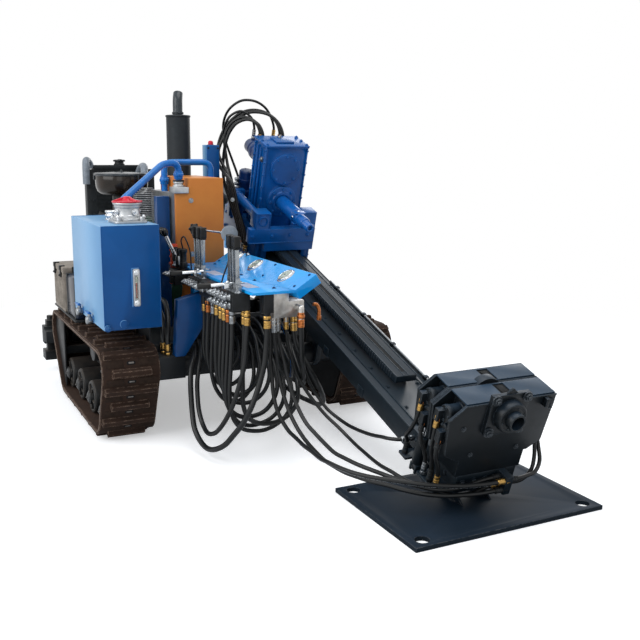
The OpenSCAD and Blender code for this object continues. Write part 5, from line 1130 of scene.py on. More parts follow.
# Two level handles that reach out over the walkway side
sideHandles = (((747, -345, 908), (747 - 30, -478, 902)), ((1186, -345, 905), (1150, -500, 896)))


def addSideHandles():
    bars, grips = [], []
    for start, end in sideHandles:
        start, end = Vector(start), Vector(end)
        way = (end - start).normalized()
        bars.append(rod(start - 30 * way, start + 92 * way, 9, 1, 18))
        bars += boltsAt([start + Vector((0, 0, 8))], (0, 0, 1), 9, 6)
        bars.append(block(start - Vector((16, 22, 20)), start + Vector((16, 14, 6)), 2))
        grips.append(lathe(start + 80 * way, way, [(0, 0), (13, 0), (14, 5), (14, 58), (12, 64), (0, 65)], 28, 1))
    fit("sideHandleBars", bars, "chrome")
    fit("sideHandleGrips", grips, "gripPlastic")


addBallLevers()
addThrottle()
addSideHandles()
print("small controls set")

# Hydraulic tank: weld lines, level gauge, drain plug, side bosses, filter and breather
tankSize = {"low": (64, -847.3, 642), "high": (788, -555.3, 1162)}
gauge = {"y": -686, "low": 762, "high": 950, "half": 17}


def addTankFittings():
    (x0, y0, z0), (x1, y1, z1) = tankSize["low"], tankSize["high"]
    seams = []
    for y in (y0 + 2.5, y1 - 2.5):
        seams.append(sweep([Vector((x1 - 2.5, y, z0 + 8)), Vector((x1 - 2.5, y, z1 - 8))], 3.4, 8))
    corners = [(x0 + 3, y0 + 3), (x1 - 3, y0 + 3), (x1 - 3, y1 - 3), (x0 + 3, y1 - 3)]
    for k, (x, y) in enumerate(corners):
        nx, ny = corners[(k + 1) % 4]
        seams.append(sweep([Vector((x, y, z1 - 1.5)), Vector((nx, ny, z1 - 1.5))], 3.6, 8))
    fit("tankWelds", seams, "tankEnamel")
    y, half, x1 = gauge["y"], gauge["half"], x1 + 18
    frame0 = slab(softRect((y - half, gauge["low"]), (y + half, gauge["high"]), 9), 13, None, 1.5,
                  [softRect((y - 7, gauge["low"] + 36), (y + 7, gauge["high"] - 36), 5)])
    turned = Matrix.Translation((x1, 0, 0)) @ Matrix(((0, 0, 1), (1, 0, 0), (0, 1, 0))).to_4x4()
    frame0.data.transform(turned)
    back = block((x1 - 1, y - 9, gauge["low"] + 30), (x1 + 3, y + 9, gauge["high"] - 30), 1)
    fit("levelGaugeFrame", [frame0], "castAluminium")
    fit("levelGaugeBack", [back], "dialCream")
    heads = [lathe((x1 + 10, y, z), (1, 0, 0), [(0, 0), (13, 0), (13, 3), (9, 4), (9, 9), (0, 9)], 24, 0.6)
             for z in (gauge["low"] + 18, gauge["high"] - 18)]
    heads += boltsAt([(x1 + 21, y, z) for z in (gauge["low"] + 18, gauge["high"] - 18)], (1, 0, 0), 7, 4)
    fit("levelGaugeBolts", heads, "chrome")
    tube = rod((x1 + 7, y, gauge["low"] + 34), (x1 + 7, y, gauge["high"] - 34), 6.5, 0.6, 24)
    settle("levelGaugeGlass", [tube], ground, "chassis", glass)
    stem = rod((x1 + 6, y, gauge["low"] + 40), (x1 + 6, y, gauge["high"] - 70), 2.2, 0.4, 12)
    fit("levelGaugeThermometer", [stem], "valveRed")
    x1 = tankSize["high"][0]
    plug = [lathe((x1, -831, 655), (1, 0, 0), [(0, -2), (17, -2), (17, 8), (12, 9), (12, 14), (0, 14)], 24, 0.8)]
    plug += boltsAt([(x1 + 14, -831, 655)], (1, 0, 0), 11, 8)
    fit("drainPlug", plug, "tankEnamel")
    for number, (x, z) in enumerate(((281, 664), (533, 660))):
        body = [lathe((x, y0, z), (0, -1, 0), [(0, -4), (22, -4), (22, 4), (15, 5), (15, 12), (0, 12)], 28, 0.8)]
        fit("sideBoss%d" % (number + 1), body, "tankEnamel")


tankFilter = {"x": 600, "y": -665.3, "top": 1162}


def addFilter():
    x, y, z = tankFilter["x"], tankFilter["y"], tankFilter["top"]
    parts = [slab(softRect((x - 84, y - 84), (x + 84, y + 84), 22), 13, Matrix.Translation((0, 0, z)), 2)]
    profile = [(0, 12), (76, 12), (76, 22), (66, 28), (66, 38), (63, 42), (63, 76), (66, 80), (66, 92), (73, 94),
               (73, 104), (0, 104)]
    parts.append(lathe((x, y, z), (0, 0, 1), profile, 56, 1.2))
    for angle in (0.35, 1.95, 3.5, 5.1):
        way = Vector((math.cos(angle), math.sin(angle), 0))
        parts.append(lathe(Vector((x, y, z + 58)) + 56 * way, way, [(0, 0), (17, 0), (17, 12), (0, 12)], 24, 1))
    for sx in (-1, 1):
        for sy in (-1, 1):
            parts.append(lathe((x + sx * 60, y + sy * 60, z + 12), (0, 0, 1), [(0, 0), (15, 0), (13, 22), (0, 22)],
                               20, 1))
    fit("filterHead", parts, "castAluminium", ("return_filter",))
    screws = boltsAt([(x + sx * 66, y + sy * 66, z + 32) for sx in (-1, 1) for sy in (-1, 1)], (0, 0, 1), 10, 8)
    for angle in (0.35, 1.95, 3.5, 5.1):
        way = Vector((math.cos(angle), math.sin(angle), 0))
        screws += boltsAt([Vector((x, y, z + 58)) + 68 * way], way, 12, 6)
    fit("filterBolts", screws, "chrome")
    cap = [lathe((x, y, z + 104), (0, 0, 1), [(0, 0), (76, 0), (77, 3), (76, 7), (70, 8), (66, 6), (30, 10),
                                              (22, 20), (20, 27),
                                             (14, 30), (0, 30)], 56, 0.8)]
    for k in range(3):
        rib = slab([(16, 0), (72, 0), (72, 6), (24, 22), (16, 24)], 9, None, 1.2)
        rib.data.transform(Matrix.Translation((x, y, z + 108)) @ Matrix.Rotation(2 * math.pi * k / 3 + 0.5, 4, "Z")
                           @ Matrix.Rotation(math.pi / 2, 4, "X") @ Matrix.Translation((0, 0, -4.5)))
        cap.append(rib)
    fit("filterCap", cap, "capRed", ("return_filter",))
    x, y = 400, -690.3
    cup = [(0, 0), (44, 0), (44, 5), (30, 7), (30, 14), (42, 15), (44, 18), (44, 28), (42, 31), (38, 32), (38, 38),
           (43, 40), (43, 48), (40, 52), (0, 52)]
    parts = [lathe((x, y, z), (0, 0, 1), cup, 48, 0.8)]
    parts += boltRing((x, y, z + 5), (0, 0, 1), 37, 6, 4.5, 4)
    fit("breatherCap", parts, "chrome", ("tank_breather",))


addTankFittings()
addFilter()
print("tank set")

# Exhaust: silencer with crimped rims, and a tail pipe cut on the slant
stack = {"x": -400, "y": -70}


def addStack():
    x, y = stack["x"], stack["y"]
    profile = [(0, 0), (58, 0), (73, 8), (76, 8), (78, 11), (76, 14), (74.5, 16), (74.5, 528), (76, 530), (79, 533),
               (79, 539), (76, 542), (70, 543), (34, 546), (0, 546)]
    parts = [lathe((x, y, 1200), (0, 0, 1), profile, 56, 0.8)]
    parts.append(lathe((x, y, 1010), (0, 0, 1), [(0, 0), (46, 0), (46, 10), (30, 11), (30, 190), (0, 190)], 32, 1))
    parts.append(block((x - 40, -200, 980), (x + 40, y + 40, 1010), 4))
    parts += boltRing((x, y, 1020), (0, 0, 1), 38, 4, 7, 6, 0.6)
    clamp = lathe((x, y, 1748), (0, 0, 1), [(29, 0), (36, 0), (36, 14), (29, 14), (29, 0)], 36, 0.8)
    ears = [block((x + 34, y - 4, 1749), (x + 50, y + 4, 1761), 1)]
    parts += [clamp] + ears + boltsAt([(x + 43, y - 4, 1755)], (0, -1, 0), 6, 5)
    fit("silencer", parts, "stackPaint", ("exhaust_stack",))
    line = smoothLine([(x, y, 1746), (x, y, 1780), (x, y, 1812), (x - 8, y + 4, 1846), (x - 26, y + 13, 1876)], 8)
    outer = finishWith(outward(sweep(line, 31, 40, False)), "SOLIDIFY", thickness=2.5, offset=-1)
    fit("tailPipe", [outer], "tailPaint", ("exhaust_stack",))


addStack()

# Air cleaner: dark bowl with a pale clamp rim, a ribbed lid and its inlet elbow
airCleaner = {"x": -400, "y": -442}


def addAirCleaner():
    x, y = airCleaner["x"], airCleaner["y"]
    bowl = [(0, 1248), (100, 1250), (132, 1258), (150, 1276), (158, 1300), (161, 1330), (162, 1372), (0, 1372)]
    fit("airBowl", [lathe((x, y, 0), (0, 0, 1), bowl, 64, 0.8)], "bowlPlastic", ("air_cleaner",))
    lid = [(0, 1368), (164, 1368), (169, 1372), (169, 1380), (164, 1385), (120, 1387), (60, 1390), (0, 1391)]
    parts = [lathe((x, y, 0), (0, 0, 1), lid, 64, 0.6)]
    parts.append(lathe((x, y, 1390), (0, 0, 1), [(0, 0), (9, 0), (9, 6), (5, 8), (5, 15), (0, 15)], 20, 0.5))
    for k in range(3):
        a = 2 * math.pi * k / 3 + 0.4
        parts.append(block((x + 166 * math.cos(a) - 5, y + 166 * math.sin(a) - 5, 1345),
                           (x + 166 * math.cos(a) + 5, y + 166 * math.sin(a) + 5, 1384), 2))
    fit("airLid", parts, "tailPaint", ("air_cleaner",))
    neck = [lathe((x, y, 0), (0, 0, 1), [(0, 1090), (60, 1090), (60, 1200), (66, 1202), (66, 1214), (60, 1216),
                                         (60, 1262), (0, 1262)], 40, 1)]
    fit("airNeck", neck, "gripPlastic", ("air_cleaner",))
    elbow = smoothLine([(-400, -300, 1340), (-430, -290, 1372), (-480, -275, 1412), (-560, -265, 1420),
                        (-640, -262, 1392), (-700, -262, 1330)], 7)
    fit("airElbow", [sweep(elbow, 24, 24)], "greyTin")


addAirCleaner()


# Radiator: fins in a black frame, with a cap and the top hose
radiator = {"x": -905, "left": -560, "right": -100}


def addRadiator():
    x, left, right = radiator["x"], radiator["left"], radiator["right"]
    parts = []
    for y in (left + 14, left + 42, right - 14, right - 42):
        parts += boltsAt([(-870, y, z) for z in range(560, 1380, 90)], (1, 0, 0), 6, 4)
    for z in range(1100, 1380, 9):
        parts.append(block((-871, left + 60, z), (-866, right - 60, z + 3), 0.4, 1))
    parts.append(lathe((x, -330, 1423), (0, 0, 1), [(0, 0), (36, 0), (36, 8), (30, 10), (30, 22), (40, 24), (40, 33),
                                                    (30, 36), (0, 36)], 32, 1))
    parts.append(block((x - 26, -334, 1456), (x + 60, -326, 1462), 2))
    fit("radiatorParts", parts, "radiatorPaint")
    tube = smoothLine([(-905, -520, 1400), (-905, -528, 1432), (-890, -545, 1452), (-860, -560, 1452),
                       (-835, -568, 1420), (-828, -570, 1370), (-826, -570, 1300)], 7)
    fit("radiatorTube", [sweep(tube, 23, 24)], "greyTin")


addRadiator()
print("engine top set")


# Oil cooler beside the shroud: level fins and bolts
def addCooler():
    fins = []
    for z in range(960, 1308, 11):
        fins.append(block((-190, -432, z), (-96, -418, z + 4), 0.8, 1))
        fins.append(block((-100, -422, z), (-92, -330, z + 4), 0.8, 1))
    fit("coolerFins", fins, "castAluminium")
    bolts = boltsAt([(200, -193, 1243), (200, -191, 933)], (1, 0, 0), 11, 5)
    bolts += boltsAt([(200, 62, 1243), (200, 62, 933)], (1, 0, 0), 9, 4)
    fit("shroudBolts", bolts, "whiteZinc")


addCooler()
print("cooler set")

# Return pipes: one bent tube each, with welded elbows, unions and collars
tankRoute = [(470, -666.3, 1162), (470, -666.3, 1260), (200, -350, 1455), (160, -252, 1455), (160, -252, 1350)]
shroudRoute = [(-110, -255, 1285), (-110, -255, 1455), (-110, 40, 1455), (-110, 40, 1000)]


def addReturnPipes():
    pipes = [pipe([Vector(p) for p in tankRoute], 19, 62, 24),
             pipe([Vector(p) for p in shroudRoute], 19, 55, 24)]
    pipes.append(block((-150, 5.3, 960), (-70, 70, 1000), 3))
    for where, way in (((160, -252, 1385), (0, 0, 1)), ((-110, -255, 1345), (0, 0, 1)),
                       ((470, -666.3, 1185), (0, 0, 1)), ((-110, 40, 1340), (0, 0, 1))):
        pipes.append(lathe(where, way, [(0, -20), (25, -20), (25, -6), (29, -4), (29, 12), (25, 14), (25, 24),
                                        (0, 24)], 28, 1))
        pipes += boltRing(Vector(where) + Vector(way) * 2, way, 27, 2, 6, 3)
    fit("returnPipesShape", pipes, "pipeEnamel", ("return_pipes",))
    neck = [lathe((160, -252, 1320), (0, 0, 1), [(0, 0), (34, 0), (34, 10), (27, 12), (27, 20), (31, 22), (31, 30),
                                                 (0, 30)],
                  32, 1)]
    fit("coolerNeck", neck, "castAluminium")
    seal = lathe((160, -252, 1350), (0, 0, 1), [(0, 0), (33, 0), (33, 9), (0, 9)], 32, 1)
    fit("coolerSeal", [seal], "gripPlastic")


addReturnPipes()

# Gearbox on the mast carriage: covers, bolt rows, ribs and lid
gearbox = {"back": -190, "half": 135, "base": -195, "top": 340}


def addGearbox():
    back, half, base, top = gearbox["back"], gearbox["half"], gearbox["base"], gearbox["top"]
    parts = [lathe((0, 0, 205), (1, 0, 0), [(0, 0), (100, 0), (100, 11), (96, 15), (84, 16), (0, 16)], 64, 1)]
    parts.append(lathe((0, 0, 0), (1, 0, 0), [(44.5, 0), (98, 0), (98, 12), (93, 17), (70, 18), (66, 24), (54, 26),
                                              (44.5, 26), (44.5, 0)], 64, 1))
    parts += boltRing((16, 0, 205), (1, 0, 0), 82, 8, 8, 7, 0.35)
    parts += boltRing((18, 0, 0), (1, 0, 0), 80, 8, 8, 7, 0.2)
    parts.append(block((back - 10, -half - 10, top + 9), (10, half + 10, top + 16), 3))
    parts.append(block((back + 40, -60, top + 15), (-40, 60, top + 27), 5))
    for way in (-1, 1):
        for z in range(base + 60, top, 76):
            parts += boltsAt([(-5, way * half, z), (back + 12, way * half, z)], (0, way, 0), 9, 7)
        for x in (back + 20, back + 95, -12):
            parts += boltsAt([(x, way * (half - 4), top + 16)], (0, 0, 1), 9, 7)
        parts.append(block((-14, way * half - 5, base + 6), (3, way * half + 5, top), 3))
        parts.append(block((back - 3, way * half - 5, base + 6), (back + 14, way * half + 5, top), 3))
        for k, x in enumerate((back + 60, back + 105)):
            arc = smoothLine([(x - 6, way * half, base + 30), (x + 12, way * (half + 6), base + 180),
                              (x + 12, way * (half + 6), base + 330), (x - 4, way * half, top - 24)], 8)
            parts.append(sweep(arc, 11 - 2 * k, 12))
    for y in (-90, 90):
        parts.append(block((2, y - 6, base + 4), (13, y + 6, base + 60), 2.5))
    fit("gearboxParts", parts, "gearEnamel", (), mast, "carriage")
    plugs = boltsAt([(-60, -half, 250), (-60, -half, -120), (-130, 0, top + 27)], (0, -1, 0), 14, 9)
    fit("gearboxPlugs", plugs, "whiteZinc", (), mast, "carriage")


def addMotors():
    parts, fittings = [], []
    back = gearbox["back"]
    for y in (-68, 68):
        body = [(0, 0), (66, 0), (66, 14), (60, 16), (60, 66), (56, 70), (60, 74), (60, 118), (46, 122), (46, 150),
                (49, 152), (49, 168), (46, 170), (46, 222), (38, 230), (0, 230)]
        parts.append(lathe((back, y, 225), (-1, 0, 0), body, 40, 1))
        parts += boltRing((back - 16, y, 225), (-1, 0, 0), 54, 4, 8, 7, 0.8)
        for x in (-45, -95):
            parts.append(lathe((x + back, y, 270), (0, 0, 1),
                               [(0, 0), (17, 0), (17, 12), (14, 14), (14, 30), (0, 30)], 20, 1))
        parts.append(lathe((back - 195, y, 260), (0, 0, 1), [(0, 0), (14, 0), (14, 20), (11, 22), (11, 40), (0, 40)],
                           20, 1))
    fit("rotaryMotorShapes", parts, "deepEnamel", ("rotary_motors",), mast, "carriage")
    parts = []
    for way in (-1, 1):
        place = (-360, way * 98, gearbox["base"])
        body = [(0, 0), (74, 0), (74, 16), (62, 18), (62, 70), (58, 73), (62, 76), (62, 146), (48, 150), (48, 190),
                (52, 192), (52, 214), (48, 216), (48, 262), (40, 270), (0, 270)]
        parts.append(lathe(place, (0, 0, 1), body, 40, 1))
        parts += boltRing((place[0], place[1], place[2] + 16), (0, 0, 1), 66, 6, 8, 7)
        parts += boltRing((place[0], place[1], place[2] + 266), (0, 0, 1), 28, 4, 6, 5)
        for z in (30, 60):
            fittings.append(lathe((-360, way * 98 - 50, place[2] + 150 + z), (0, -1, 0),
                                  [(0, 0), (16, 0), (16, 12), (12, 14), (12, 26), (0, 26)], 20, 1))
    fit("feedMotorShapes", parts, "deepEnamel", ("feed_motors",), mast, "carriage")
    fit("feedMotorFittings", fittings, "whiteZinc", (), mast, "carriage")


def addSpindle():
    profile = [(0, -78), (43, -78), (43, 240), (41, 246), (34.5, 250), (34.5, 300), (33, 302), (33, 306),
               (34.5, 308), (34.5, 370), (32, 375), (27, 377), (27, 386)]
    for k in range(6):
        profile += [(27, 386 + 8 * k), (24.4, 389 + 8 * k), (24.4, 391 + 8 * k), (27, 394 + 8 * k)]
    profile += [(25, 438), (23, 443), (14, 443), (14, 420), (0, 420)]
    shaft = lathe((0, 0, 0), (1, 0, 0), profile, 48, 0.6)
    flats = [block((256, -36, way * 33 - 2), (296, 36, way * 33 + 2), 1) for way in (-1, 1)]
    fit("spindleShaft", [shaft] + flats, "spindleEnamel", ("spindle",), mast, "spindle")
    pins = [lathe((262, 0, 30), (0, 0, 1), [(0, 0), (9, 0), (9, 8), (6, 10), (0, 10)], 20, 0.6),
            lathe((262, -30, 0), (0, -1, 0), [(0, 0), (9, 0), (9, 8), (6, 10), (0, 10)], 20, 0.6)]
    fit("spindlePins", pins, "chrome", (), mast, "spindle")


def addCarriageParts():
    parts = []
    for y in (-235, -146):
        parts.append(block((100, y, -105), (194, y + 6, -5), 2))
    parts.append(block((100, -235, -11), (194, -140, -4), 2))
    parts.append(lathe((189, -188, -55), (1, 0, 0), [(22, 0), (32, 0), (32, 7), (22, 7), (22, 0)], 32, 1))
    parts.append(lathe((-250, -190, -55), (1, 0, 0), [(0, 0), (34, 0), (34, 26), (30, 28), (0, 28)], 32, 1))
    parts.append(lathe((70, -190, -55), (1, 0, 0), [(30, 0), (35, 0), (35, 26), (30, 26), (30, 0)], 32, 1))
    parts.append(sweep([Vector((196, -268, -193)), Vector((196, 163, -193))], 4, 8))
    parts += boltsAt([(196, y, -150) for y in (-250, -120, 0, 120)], (1, 0, 0), 10, 7)
    for s in (-420, -330, -240, -150, -60, 30, 100):
        parts += boltsAt([(s, -185, -235), (s, -185, -330)], (0, -1, 0), 10, 7)
        parts += boltsAt([(s, 185, -235), (s, 185, -330)], (0, 1, 0), 10, 7)
    parts.append(block((150, -150, -108), (158, 100, -102), 2))
    fit("carriageParts", parts, "gearEnamel", (), mast, "carriage")


addGearbox()
addMotors()
addSpindle()
addCarriageParts()
print("gearbox and carriage set")

# Mast: rack teeth, slot, rails' bolts, a feed line, bolts at the foot
mastSize = {"back": -1130, "front": 2010, "top": -325, "half": 155, "rackTop": -260, "rackHalf": 59,
            "rackFront": 1676}


def addMastParts():
    m = mastSize
    tooth = slab([(-7.5, 0), (7.5, 0), (4, 10), (-4, 10)], 30, None, 1)
    places = []
    for k in range(int((m["rackFront"] - m["back"] - 90) / 22)):
        s = m["back"] + 75 + 22 * k
        places.append(Matrix.Translation((s, m["rackHalf"] - 6, m["rackTop"] - 33)))
        places.append(Matrix.Translation((s, 6 - m["rackHalf"], m["rackTop"] - 33))
                      @ Matrix.Rotation(math.pi, 4, "Z"))
    fit("rackTeeth", copies(tooth, places), "rackSteel", (), mast, "mast")
    slots = [block((m["back"] + 90, -11, m["rackTop"] - 1), (m["rackFront"] - 40, 11, m["rackTop"] + 0.8), 0.3, 1)]
    fit("rackSlot", slots, "deepShadow", (), mast, "mast")
    parts = [sweep([Vector((m["back"] + 70, y, m["rackTop"])), Vector((m["rackFront"] - 4, y, m["rackTop"]))], 3, 8)
             for y in (-57, -13, 13, 57)]
    for y in (-153.5, 153.5):
        parts.append(sweep([Vector((m["back"], y, m["top"] - 1)), Vector((m["front"], y, m["top"] - 1))], 3.5, 8))
    for y in (-86, 86):
        parts += boltsAt([(s, y, m["top"]) for s in range(-1040, 1990, 180)], (0, 0, 1), 9, 6)
    for way in (-1, 1):
        for s in range(-900, 1900, 400):
            side = way * m["half"]
            parts.append(block((s, side - 4, m["top"] - 120), (s + 60, side + 4, m["top"] - 70), 2))
    fit("mastParts", parts, "mastPaint", (), mast, "mast")
    line = [Vector((520, 150, m["top"] + 8)), Vector((1960, 150, m["top"] + 8)), Vector((1995, 150, m["top"] - 10))]
    clips = [block((s, 136, m["top"] - 2), (s + 24, 163, m["top"] + 18), 3) for s in range(600, 1960, 340)]
    fit("mastFeedLine", [pipe(line, 7, 20, 14)], "whiteZinc", (), mast, "mast")
    fit("mastFeedClips", clips, "visePaint", (), mast, "mast")
    foot = []
    for way in (-1, 1):
        foot += boltsAt([(s, way * m["half"], -350) for s in (2060, 2140, 2220, 2300)], (0, way, 0), 11, 7)
    foot += boltsAt([(2382, y, -350) for y in (-120, -60, 0, 120)], (1, 0, 0), 12, 8)
    fit("mastFootParts", foot, "visePaint", (), mast, "mast")


addMastParts()

# Vises: top plates with a slot, cylinder caps, elbows, the front flange with its bush
vises = {"clamp": {"back": 2247, "front": 2382, "body": "mast"},
         "breakout": {"back": 2130, "front": 2241, "body": "breakout_vise"}}


def addVise(name, vise):
    back, front, middle = vise["back"], vise["front"], (vise["back"] + vise["front"]) / 2
    tops, dark, parts, brass = [], [], [], []
    outline = [(back + 8, -196), (front - 8, -196), (front - 8, 258), (back + 8, 258)]
    slot = [(back + 14, 4), (front - 14, 4), (front - 14, 62), (back + 14, 62)]
    tops.append(slab(outline, 7, Matrix.Translation((0, 0, 49)), 1.5, [slot]))
    dark.append(block((back + 13, 3, 49), (front - 13, 63, 51), 0.5))
    dark.append(block((back + 24, 16, 50), (front - 40, 50, 54), 2))
    for face in (back, front):
        rimLine = [Vector((face, y, n)) for y, n in ((-268, -10), (-200, 49), (262, 49))]
        parts.append(sweep(rimLine, 3.2, 8))
    for side in (-1, 1):
        for n in (-100, -20):
            cap = [(0, 0), (40, 0), (40, 10), (36.5, 12), (36.5, 60), (39, 62), (39, 76), (34, 80), (0, 80)]
            parts.append(lathe((middle, side * 168, n), (0, side, 0), cap, 36, 1))
            parts += boltRing((middle, side * 248, n), (0, side, 0), 28, 4, 5, 4, 0.78)
        for s, n in ((middle - 20, -33), (middle + 20, -113)):
            elbow = smoothLine([(s, side * 244, n + 20), (s, side * 256, n + 16), (s, side * 262, n),
                                (s, side * 262, n - 22)], 6)
            parts.append(sweep(elbow, 12.5, 16))
            brass.append(lathe((s, side * 262, n - 16), (0, 0, -1),
                               [(0, 0), (15, 0), (15, 12), (13, 13), (13, 20), (0, 20)], 6, 0.8))
            parts.append(lathe((s, side * 238, n + 20), (0, side, 0), [(0, 0), (16, 0), (16, 10), (0, 10)], 6, 0.8))
    fit(name + "Tops", tops, "viseTop", (), mast, vise["body"])
    fit(name + "Slots", dark, "deepShadow", (), mast, vise["body"])
    fit(name + "Parts", parts, "visePaint", (), mast, vise["body"])
    fit(name + "Nuts", brass, "copper", (), mast, vise["body"])


for name, vise in vises.items():
    addVise(name, vise)


def addViseFace():
    s = vises["clamp"]["front"]
    turned = Matrix.Translation((s + 14, 0, 0)) @ Matrix(((0, 0, 1), (1, 0, 0), (0, 1, 0))).to_4x4()
    hole = ring(60, 40)
    plate = slab(softRect((-97, -97), (97, 97), 14), 8, None, 2, [hole])
    plate.data.transform(turned)
    parts = [plate]
    bolts = []
    for y in (-78, 78):
        for n in (-78, 78):
            parts.append(lathe((s + 20, y, n), (1, 0, 0), [(0, 0), (21, 0), (20, 6), (0, 6)], 32, 1))
            bolts += boltsAt([(s + 25, y, n)], (1, 0, 0), 17, 14)
    parts.append(lathe((s + 20, 0, 0), (1, 0, 0), [(66, 0), (72, 0), (72, 26), (69, 40), (64, 44), (56, 44),
                                                   (56, 34), (66, 34), (66, 0)], 64, 1))
    parts.append(lathe((s + 50, 0, 0), (1, 0, 0), [(32, 0), (41, 0), (41, 40), (39, 45), (34, 45), (32, 42),
                                                   (32, 0)], 56, 0.8))
    for a in (0.3, 1.3, 2.35, 3.4, 4.4, 5.4):
        parts.append(lathe((s + 60, 50 * math.cos(a), 50 * math.sin(a)), (1, 0, 0), [(0, 0), (5, 0), (5, 4), (0, 5)],
                           14, 0.5))
    latch = [block((s, 196, 2), (s + 24, 214, 44), 3), block((s + 2, 214, -6), (s + 12, 250, 34), 3)]
    parts += latch
    bolts += boltsAt([(s + 12, 232, -2), (s + 1, -190, -60), (s + 1, 120, -200), (s + 1, -120, -200)], (1, 0, 0), 9,
                     7)
    upright = Matrix.Rotation(math.pi / 2, 4, "Z") @ Matrix.Rotation(math.pi / 2, 4, "X")
    parts.append(slab([(0, 0), (60, 0), (30, 26)], 10, Matrix.Translation((s + 8, -30, 98)) @ upright, 2))
    fit("viseFace", parts, "visePaint", (), mast, "mast")
    fit("viseFaceBolts", bolts, "boltDark", (), mast, "mast")


addViseFace()
print("mast and vises set")


# Anchor plate: weld beads, gussets at the hinge ears
def addPlateParts():
    parts = []
    for y in (360, 380, 512, 532):
        parts.append(sweep([Vector((2012, y, 21)), Vector((2088, y, 21))], 4, 8))
    for x in (2008, 2092):
        parts.append(sweep([Vector((x, 362, 21)), Vector((x, 378, 21))], 4, 8))
        parts.append(sweep([Vector((x, 514, 21)), Vector((x, 530, 21))], 4, 8))
    for y in (370, 522):
        for way in (-1, 1):
            rib = slab([(0, 0), (60, 0), (0, 46)], 10, None, 2)
            rib.data.transform(Matrix.Translation((2050 + way * 38, y + (5 if way > 0 else -5), 20))
                               @ Matrix.Rotation(0 if way > 0 else math.pi, 4, "Z")
                               @ Matrix.Rotation(math.pi / 2, 4, "X"))
            parts.append(rib)
    for y in (358, 512):
        parts.append(lathe((2050, y - 4, 92), (0, 1, 0), [(0, 0), (24, 0), (24, 5), (0, 5)], 28, 1))
    fit("plateParts", parts, "platePaint", body="plate")


addPlateParts()

# Tracks: belt rims, drive slots, lug bars, and dished roller faces with ribs and hubs
run = {"rollersBack": 405, "pitch": 302, "rollerZ": 145.3, "idlerX": 614, "idlerZ": 395.3,
       "sprocket": 597, "belt": 120.3, "width": 300, "lugs": 34}
run["corners"] = [(-run["rollersBack"], run["rollerZ"]), (3 * run["pitch"] - run["rollersBack"], run["rollerZ"]),
                  (run["idlerX"], run["idlerZ"]), (-run["sprocket"], run["idlerZ"])]


def beltSides():  # each straight run with its outward angle, then the bend round the wheel at its end
    for i in range(4):
        here, after, beyond = (Vector(run["corners"][(i + k) % 4]) for k in range(3))
        side, turn = after - here, beyond - after
        bend = (math.atan2(turn.y, turn.x) - math.atan2(side.y, side.x)) % (2 * math.pi)
        yield here, after, side, math.atan2(side.y, side.x) - math.pi / 2, bend


def outFrom(centre, radius, angle):
    return centre + radius * Vector((math.cos(angle), math.sin(angle))), angle


def beltPath(radius, stride=40):  # the loop at a radius round its corner wheels: places and outward ways
    places = []
    for here, after, side, a0, bend in beltSides():
        count, steps = max(1, int(side.length / stride)), max(1, math.ceil(math.degrees(bend) / 8))
        places += [outFrom(here + side * k / count, radius, a0) for k in range(count)]
        places += [outFrom(after, radius, a0 + bend * k / steps) for k in range(steps)]
    return places


def alongBelt(distance, radius):  # the place and outward way at a distance along the belt's outer face
    for here, after, side, a0, bend in beltSides():
        lap = side.length + bend * run["belt"]
        if distance <= side.length:
            return outFrom(here + side * distance / side.length, radius, a0)
        if distance <= lap:
            return outFrom(after, radius, a0 + (distance - side.length) / run["belt"])
        distance -= lap
    return None


def beltLength():
    return sum(side.length + bend * run["belt"] for _, _, side, _, bend in beltSides())


def standing(place, turn, y):  # own +Z points out of the belt, own X lies along it
    out = Vector((math.cos(turn), 0, math.sin(turn)))
    along = Vector((-math.sin(turn), 0, math.cos(turn)))
    across = out.cross(along)
    return Matrix.Translation((place.x, y, place.y)) @ Matrix((along, across, out)).transposed().to_4x4()


def addTrack(name, middle, body):
    total, count = beltLength(), run["lugs"]
    rim = []
    for y in (middle - run["width"] / 2 + 3, middle + run["width"] / 2 - 3):
        path = [Vector((p.x, y, p.y)) for p, _ in beltPath(run["belt"] - 14)]
        rim.append(sweep(path + [path[0]], 5.5, 8, False))
    fit(name + "Rims", rim, "beltRim", body=body)
    slot = slab(softRect((-9, -22), (9, 22), 7), 2.5, None, 0.6)
    shine = slab(softRect((-4, -15), (5, 13), 3), 2, None, 0.4)
    pads = slab([(-20, -46), (20, -46), (20, 46), (-20, 46)], 2.2, None, 0.8)
    slotPlaces, shinePlaces, padPlaces = [], [], []
    for k in range(count):
        place, turn = alongBelt((k + 0.02) * total / count, run["belt"])
        slotPlaces.append(standing(place, turn, middle) @ Matrix.Translation((0, 0, -1.6)))
        shinePlaces.append(standing(place, turn, middle) @ Matrix.Translation((0, 0, -0.8)))
        padPlaces += [standing(place, turn, middle + side * 86) @ Matrix.Translation((0, 0, -1)) for side in (-1, 1)]
    fit(name + "Slots", copies(slot, slotPlaces), "deepShadow", body=body)
    fit(name + "Links", copies(shine, shinePlaces), "wornSteel", body=body)
    fit(name + "Pads", copies(pads, padPlaces), "padRubber", body=body)


